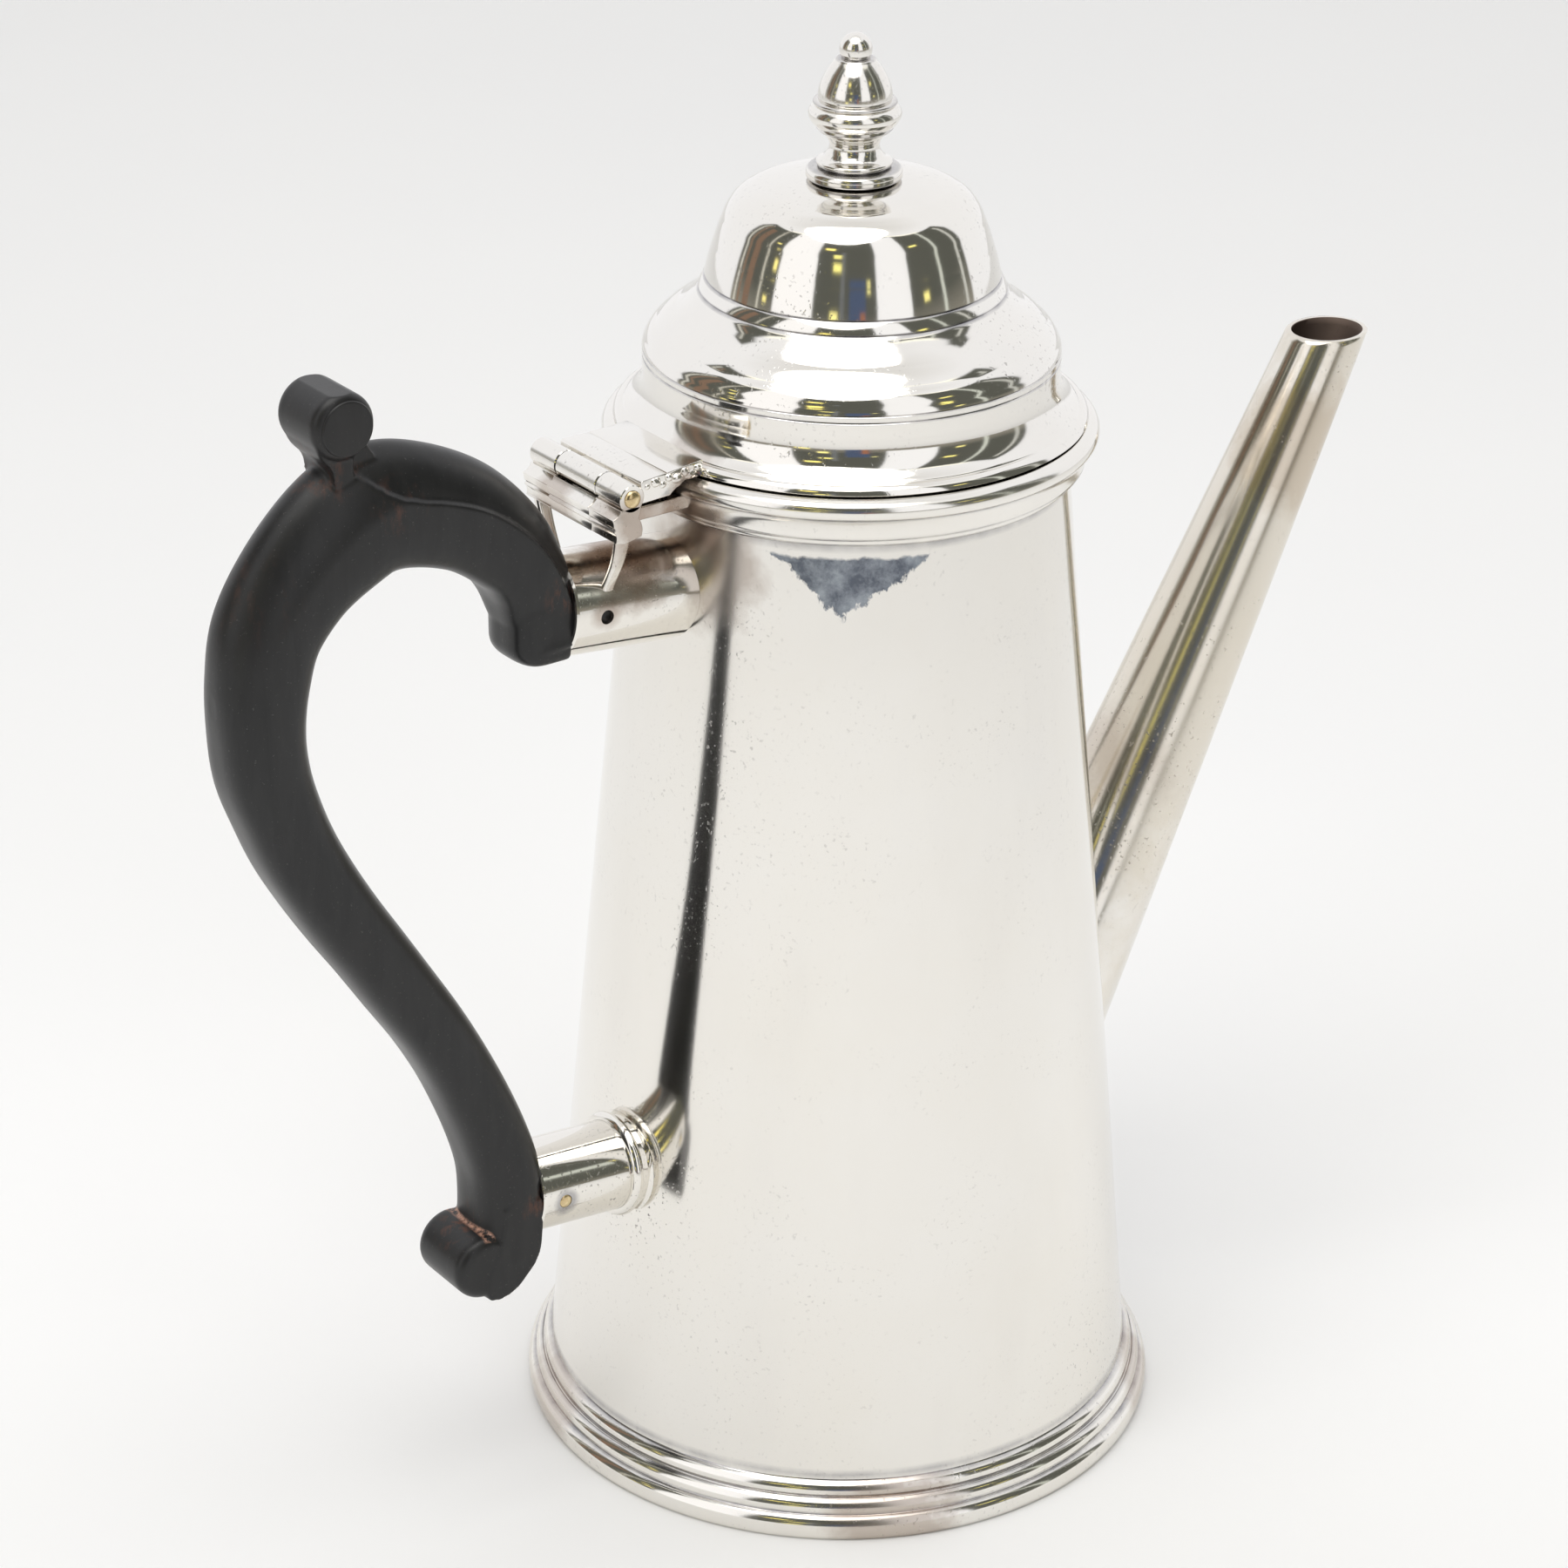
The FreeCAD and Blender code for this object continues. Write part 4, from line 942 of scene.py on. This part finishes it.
handle_mesh = make_handle()
wood_low, wood_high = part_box("handle")
INSIDE = 0.02                       # the wood stays this far inside its CAD node's box
for vertex in handle_mesh.verts:
    vertex.co.x = max(vertex.co.x, wood_low.x / MM + INSIDE)
    vertex.co.z = min(max(vertex.co.z, wood_low.z / MM + INSIDE), wood_high.z / MM - INSIDE)
paint(add_mesh("handle_wood", handle_mesh, "pot", ["handle"], 0), wood)


def tenon(name, root_z, end_x, radius):
    """The wood's end inside a tube."""
    rings = [(0, 0.01), (0, radius), (6, radius), (13, radius - 0.4), (13, 0.01)]
    bm = tube(root_z, end_x, rings, segments=64)
    paint(add_mesh(name, bm, "pot", []), wood)


tenon("upper_tenon", UPPER_ROOT, UPPER_END, UPPER_R - TUBE_WALL - 0.05)
tenon("lower_tenon", LOWER_ROOT, LOWER_END, LOWER_R - TUBE_WALL - 0.05)


def rivet(name, root_z, x, half, radius, dome, node, material):
    """A cross pin with domed ends, or sunk ones where dome is negative."""
    points = [(0, -half - dome)]
    points += [(radius * sin(a), -half - dome * cos(a)) for a in quarter(6, 1)]
    points += [(radius * cos(a), half + dome * sin(a)) for a in quarter(6, 0, 6)]
    points.append((0, half + dome))
    bm = along_y(lathe(points, 48), on_axis(root_z, x))
    paint(add_mesh(name, bm, "pot", [node]), material)


rivet("upper_pin", UPPER_ROOT, UPPER_CROSS, 6.7, 1.05, -0.25, "upper_handle_pin", dark)
rivet("lower_pin", LOWER_ROOT, LOWER_CROSS, 7.05, 1.08, 0.3, "lower_handle_pin",
      brass)

# ---- hinge

HINGE = Vector((-48.3, 0, 171.7))
KNUCKLE, PIN_R = 2.1, 1.1
OUTER_SPANS = ((-11.9, -5.3), (5.3, 11.9))      # the body's two knuckles, along Y


def knuckle(y0, y1, inner, edge=0.12):
    """A short tube along Y about the hinge's axis, with eased edges."""
    points = [(inner, y0), (KNUCKLE - edge, y0), (KNUCKLE, y0 + edge), (KNUCKLE, y1 - edge),
              (KNUCKLE - edge, y1), (inner, y1)]
    bm = lathe(points, 96, closed=True)
    return placed(bm, Matrix.Translation(HINGE) @ Matrix.Rotation(-pi / 2, 4, "X"))


def eased_slab(outline, half, edge=0.15, centre=0):
    """A slab whose side edges are bevelled."""
    bm = slab(outline, half, centre)
    bmesh.ops.recalc_face_normals(bm, faces=bm.faces)
    edges = [e for e in bm.edges if e.calc_face_angle(0) > radians(30)]
    bmesh.ops.bevel(bm, geom=edges, offset=edge, segments=3, profile=0.5, affect="EDGES",
                    clamp_overlap=True)
    return bm


def make_bracket():
    """The body's half of the hinge: a reeded bar, its plate and the two outer knuckles."""
    reeds = [(-51.75, 169.1, -1.8), (-51.5, 167.9, -2.2), (-51.2, 167.6), (-51.5, 167.2),
             (-51.2, 165.4, -1.5), (-49.6, 165)]
    bar = bevelled([
        (-46.7, 165.6), (-46.5, 166.6), (-47.2, 168.6, 4), (-46.75, 170.35, 4), (-47.3, 170.38),
        (-48.3, 170.45), (-49.3, 170.38), (-50.3, 170.3)] + reeds)
    pieces = [eased_slab(bar, (high - low) / 2, 0.12, (low + high) / 2)
              for low, high in OUTER_SPANS]
    # under the middle knuckle the bar is hollowed to clear it
    hollow = bevelled([
        (-46.7, 165.6), (-46.5, 166.6), (-46.8, 169.75), (-47.4, 169.5), (-48.3, 169.33),
        (-49.2, 169.5), (-50, 170), (-50.45, 170.35)] + reeds)
    pieces.append(slab(hollow, 5.35))
    plate = [(-47, 165.9), (-34, 165.9), (-34, 168), (-47, 168)]
    pieces.append(eased_slab(plate, 7.4, 0.2))
    pieces += [knuckle(low, high, PIN_R) for low, high in OUTER_SPANS]
    return join(*pieces)


paint(add_mesh("hinge_block", make_bracket(), "pot", ["hinge_bracket"], 35),
      hinge_silver)


LEAF_HALF = 10.5


def narrowed(x):
    """How wide the leaf is at x: it narrows a little towards the lid."""
    return 1 - 0.07 * max(0, min(1, (x + 45.8) / 10))


def make_leaf():
    """The lid's leaf: a plate that follows the flange, its web and the middle knuckle."""
    outline = bevelled([
        (-45.85, 170.3), (-45.5, 169.95), (-40.4, 169.95), (-38.6, 171, -3), (-37.4, 171.62, -2),
        (-34.6, 171.62), (-34.4, 174.05), (-40.95, 173.62), (-41.05, 173.42), (-41.15, 173.6),
        (-45.5, 173.42), (-45.85, 173.1),
    ])
    plate = eased_slab(outline, LEAF_HALF, 0.1)
    for vert in plate.verts:
        vert.co.y *= narrowed(vert.co.x)
    web = slab([(-48, 170.75), (-45.7, 170.75), (-45.7, 172.45), (-48, 172.45)], 5.08)
    # rough lumps of solder left along both sides, where the leaf was cast on
    lumps = []
    for x, z, size in ((-44.6, 172.5, 0.55), (-43.1, 172.8, 0.8), (-41.8, 172.2, 0.6),
                       (-40.6, 173, 0.7), (-39.2, 172.5, 0.95), (-37.7, 173.2, 0.75),
                       (-36.6, 172.6, 0.9), (-35.4, 173.3, 0.7)):
        for side in (-1, 1):
            lump = bmesh.new()
            bmesh.ops.create_icosphere(lump, subdivisions=3, radius=size)
            for vert in lump.verts:
                vert.co *= 1 + 0.25 * noise.noise(vert.co * 0.9 + Vector((x, side, z)))
                vert.co.x *= 1.25
            edge = LEAF_HALF * narrowed(x) - 0.25
            lumps.append(placed(lump, Matrix.Translation((x, side * edge, z - 0.2))))
    return join(plate, web, knuckle(-5.1, 5.1, PIN_R + 0.05), *lumps)


paint(add_mesh("hinge_leaf_plate", make_leaf(), "lid", ["hinge_leaf"], 35),
      leaf_silver)


def make_pin():
    """The hinge's pin, with a low domed head at each end."""
    head, dome, half, shank = 1.35, 0.7, 11.92, PIN_R - 0.01
    points = [(0, -12.6)]
    points += [(head * sin(a), -half - dome * cos(a)) for a in quarter(8, 1)]
    points += [(shank, -half), (shank, half)]
    points += [(head * cos(a), half + dome * sin(a)) for a in quarter(8, 0, 8)]
    points.append((0, 12.6))
    return along_y(lathe(points, 64), HINGE)


paint(add_mesh("hinge_rod", make_pin(), "pot", ["hinge_pin"]), brass)


def make_strut(side):
    """A small tongue, flat in section, curving from the bracket down to the tube."""
    rows = smooth_rows([
        (10.6, 166.2, 2.7), (10.3, 164.2, 2.5), (9.3, 161.4, 2.3), (8, 158.8, 2.1),
        (6.9, 156.9, 2.1), (6.2, 155.5, 2.3),
    ], 28)
    points, half_thick, ease = 24, 0.62, 0.7
    bm = bmesh.new()
    loops = []
    for index, (y, z, wide) in enumerate(rows):
        way = travel(rows, index)
        across = Vector((0, -way.y, way.x))
        loop = []
        for a in circle(points):
            u = powered(cos(a), ease) * wide / 2
            v = powered(sin(a), ease) * half_thick
            loop.append(bm.verts.new(Vector((-49.3 + u, y, z)) + across * v))
        loops.append(loop)
    stitch(bm, loops, ends=True)
    for vert in bm.verts:
        vert.co.y *= side
    return bm


for name, node, side in (("strut_front", "hinge_strut_front", -1),
                         ("strut_rear", "hinge_strut_rear", 1)):
    paint(add_mesh(name, make_strut(side), "pot", [node]), hinge_silver)

# ---- lid

flange_profile = profile([
    (30.85, 171.36), (35.7, 171.36), (36.15, 171.6, 0.45), (34.75, 172.9, 1.6),
    (34.55, 173.05, -0.2), (31.72, 177.8, -5.5), (31.68, 178.65), (30.85, 178.65),
])
paint(add_mesh("lid_flange_ring", lathe(flange_profile, ROUND, closed=True), "lid", ["lid_flange"],
               50), lid_silver)


def line_cut(radius, height, half=0.16, depth=0.17):
    """An incised line round a profile."""
    return [(radius, height - half), (radius - depth, height), (radius, height + half)]


dome_profile = profile(
    [(31.7, 178.55)] + line_cut(31.68, 181) + line_cut(31.66, 182.05)
    + [(31.2, 183.3, 2.6), (29.6, 185.35, 4.2), (26.6, 187.75, 9), (24.6, 189.55, -14),
       (23.35, 190.95, -14), (23.05, 191.2), (23.2, 191.45), (22.45, 192.95), (22.12, 193.2),
       (22.28, 193.45), (21, 198.1, 42), (19.6, 202, 42), (18.35, 204.35, 8), (16.3, 206.05, 5.4),
       (13.6, 207, 7), (9, 207.72, 40), (4.4, 208, 60), (1.6, 208)]
    + [(1.6, 206.9), (4.4, 206.9), (12.8, 205.9, -50), (17.6, 203.3, -6), (18.6, 201, -8),
       (21.2, 193, -42), (22.2, 190.2), (25, 187.5, 14), (29.2, 184, -6), (30.6, 181.6, -3.5),
       (30.6, 178.55)], 0.45)
paint(add_mesh("lid_dome_shell", lathe(dome_profile, ROUND, closed=True, warp=planished(0.035, 24)),
               "lid", ["lid_dome"], 28), lid_silver)

TIP_R = 2.45
finial_profile = profile([
    (1.62, 208.02), (4, 208.02), (6.4, 208.04), (6.9, 208.12), (7.2, 208.75, 0.5), (7.1, 209.5, 1),
    (6.6, 209.85, 0.6), (5.1, 209.9), (5, 210.05), (5.5, 210.15, -0.5), (5.7, 210.5, 0.45),
    (5.5, 210.95, 0.4), (4.2, 211.9, -1.8), (3.75, 213.2, -2.2), (4.2, 214.3, -2.2),
    (5.35, 215.35, -2.6), (5.75, 215.75, -0.5), (5.6, 215.95), (6.75, 217.2, 2.6),
    (6.95, 218.1, 1.6), (6.2, 219.25, 1.8), (5.95, 219.4), (6.25, 219.6, 0.25), (6.1, 219.95, 0.3),
    (5.4, 220.05), (5.55, 220.5, 0.9), (5.2, 222.3, 6.5), (4.2, 224.4, 14), (3, 226, 12),
    (2.6, 226.25, 0.4), (2.1, 226.35), (2.2, 226.48), (2.45, 227.55, TIP_R), (2.12, 228.77, TIP_R),
    (1.22, 229.67, TIP_R), (0, 230, TIP_R),
], 0.22)
finial_profile[-1] = (0, 229.99)
paint(add_mesh("finial_turning", lathe(finial_profile, 160), "lid", ["finial"],
               45), finial_silver)

for node in ("base_disc", "lid_bezel", "finial_stud", "finial_washer", "finial_nut"):
    paint(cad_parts[node], inside_silver)

# ---- studio, camera


def make_floor():
    bm = bmesh.new()
    bmesh.ops.create_grid(bm, x_segments=8, y_segments=8, size=1.6)
    mesh = bpy.data.meshes.new("studio_floor")
    bm.to_mesh(mesh)
    bm.free()
    floor = bpy.data.objects.new("studio_floor", mesh)
    scene.collection.objects.link(floor)
    n = Nodes("studio_paper")
    paper = n.mix(n.noise(6, 3, 0.5), rgb(0.915, 0.915, 0.915), rgb(0.94, 0.94, 0.935))
    n.feed(n.shader, Base_Color=paper, Roughness=0.9, Specular_IOR_Level=0.1)
    paint(floor, n.material)


make_floor()


def make_world():
    """A white light tent, open on the side of the camera towards a dim room with two windows."""
    world = bpy.data.worlds.new("tent")
    scene.world = world
    n = Tree(world)
    x, y, z = n.split(n.add("TexCoord").outputs["Generated"])
    elevation = n.times(n.math("ARCSINE", z), 180 / pi)
    # azimuth in degrees from the middle of the open side
    ahead = n.plus(n.times(x, FRONT_X), n.times(y, FRONT_Y))
    right = n.plus(n.times(x, -FRONT_Y), n.times(y, FRONT_X))
    azimuth = n.times(n.math("ARCTAN2", right, ahead), 180 / pi)

    def window(az, el, half_az, half_el):
        """1 inside a box of directions, with a soft edge, in degrees."""
        dx = n.less(half_az, n.math("ABSOLUTE", n.less(azimuth, az)))
        dy = n.less(half_el, n.math("ABSOLUTE", n.less(elevation, el)))
        return n.over(n.math("MINIMUM", dx, dy), 1.2, clamp=True)

    colour = n.mix(n.times(n.less(elevation, 55), 0.05, clamp=True), rgb(1, 1, 1.02),
                   rgb(0.84, 0.83, 0.82))
    room = n.mix(n.times(n.plus(elevation, 10), 0.06, clamp=True), rgb(0.4, 0.37, 0.31),
                 rgb(0.115, 0.117, 0.1))
    # the tent's opening is higher straight ahead than at its sides
    facing = n.math("MAXIMUM", n.math("COSINE", n.times(azimuth, pi / 180)), 0)
    ceiling = n.plus(n.times(n.times(facing, facing), 18), 49)
    side_gap = n.less(106, n.math("ABSOLUTE", azimuth))
    up_down = n.math("MINIMUM", n.less(ceiling, elevation), n.plus(elevation, 16))
    opening = n.over(n.math("MINIMUM", side_gap, up_down), 2, clamp=True)
    colour = n.mix(opening, colour, room)
    # windows, dark posts and small bright things in the room
    for az, el, half_az, half_el, glow in (
        (-47, 28, 17, 29, (1.16, 1.15, 1.16)), (33, 28, 14.5, 29, (1.08, 1.08, 1.1)),
        (-89, 14, 3.5, 26, (0.26, 0.17, 0.12)), (-97, 18, 1.6, 26, (0.3, 0.2, 0.14)),
        (-77, 14, 1.5, 34, (0.75, 0.72, 0.62)), (-101, 14, 1.5, 30, (0.8, 0.78, 0.7)),
        (76, 16, 2, 34, (0.75, 0.78, 0.7)), (98, 14, 2, 30, (0.7, 0.7, 0.65)),
        (4, 4, 7, 14, (0.09, 0.12, 0.2)), (8, 0, 2.4, 8, (0.42, 0.18, 0.1)),
        (-8, 6, 2, 24, (0.2, 0.21, 0.22)), (-21, 34, 5, 2.4, (2, 1.7, 0.45)),
        (-13, 22, 4, 2.2, (1.6, 1.45, 0.45)), (-14, 5, 3.4, 3, (1.5, 1.35, 0.5)),
        (-25, -4, 4.5, 2.4, (1.5, 1.35, 0.5)), (-70, 24, 2.6, 1.6, (1.6, 1.4, 0.45)),
        (-67, 14, 2.2, 2.6, (1.5, 1.3, 0.45)), (-71, 4, 2.2, 1.6, (1.5, 1.3, 0.45)),
        (57, 30, 4.2, 2, (1.7, 1.5, 0.45)), (60, 8, 3, 2.2, (1.4, 1.25, 0.45)),
        (13, 16, 1.8, 1.6, (1.3, 1.2, 0.5)),
    ):
        colour = n.mix(window(az, el, half_az, half_el), colour, rgb(*glow))
    # the bright top edge of the opening
    edge = n.less(1, n.over(n.math("ABSOLUTE", n.less(elevation, ceiling)), 1.6), clamp=True)
    edge = n.times(edge, n.times(n.less(side_gap, 20), 0.1, clamp=True))
    colour = n.mix(edge, colour, rgb(1.6, 1.55, 1.3))
    n.feed(n.tree.nodes["Background"], Color=colour, Strength=1)


make_world()


def area_light(name, place, aim, size, power, tint):
    data = bpy.data.lights.new(name, "AREA")
    data.shape, data.size, data.energy, data.color = "DISK", size, power, tint
    light = bpy.data.objects.new(name, data)
    light.location = place
    light.rotation_mode = "QUATERNION"
    light.rotation_quaternion = (Vector(aim) - Vector(place)).to_track_quat("-Z", "Y")
    scene.collection.objects.link(light)


area_light("key_top", (-0.25, -0.2, 1.1), (0, 0, 0.1), 0.9, 4.7, (1, 0.99, 0.97))

CAMERA_PLACE = Vector((-0.3723, -0.4887, 0.4038))
# degrees; the yaw is in the frame of the fit, which stands at FIT_TURN to the pot's
CAMERA_YAW, CAMERA_PITCH, CAMERA_ROLL, FIT_TURN = -0.902, 25.709, 0.452, 37.3
SENSOR_MM, FOCAL_PX, PHOTO_PX = 36, 4943.4, 1800


def make_camera():
    data = bpy.data.cameras.new("view")
    camera = bpy.data.objects.new("view", data)
    scene.collection.objects.link(camera)
    data.sensor_width = SENSOR_MM
    data.lens = SENSOR_MM * FOCAL_PX / PHOTO_PX
    data.dof.use_dof = False
    data.clip_start, data.clip_end = 0.01, 20
    yaw, pitch, roll = radians(CAMERA_YAW), radians(CAMERA_PITCH), radians(CAMERA_ROLL)
    turn = radians(FIT_TURN)

    def to_pot(v):
        """A direction of the fit's frame in the pot's."""
        return Vector((v.x * cos(turn) + v.y * sin(turn), -v.x * sin(turn) + v.y * cos(turn), v.z))

    forward = Vector((sin(yaw) * cos(pitch), cos(yaw) * cos(pitch), -sin(pitch)))
    right = Vector((cos(yaw), -sin(yaw), 0))
    up = right.cross(forward)
    tilted_right = right * cos(roll) + up * sin(roll)
    tilted_up = up * cos(roll) - right * sin(roll)
    columns = [to_pot(tilted_right), to_pot(tilted_up), -to_pot(forward)]
    basis = Matrix([[column[row] for column in columns] for row in range(3)])
    camera.matrix_world = Matrix.Translation(CAMERA_PLACE) @ basis.to_4x4()
    scene.camera = camera


make_camera()
scene.view_settings.view_transform = "Standard"
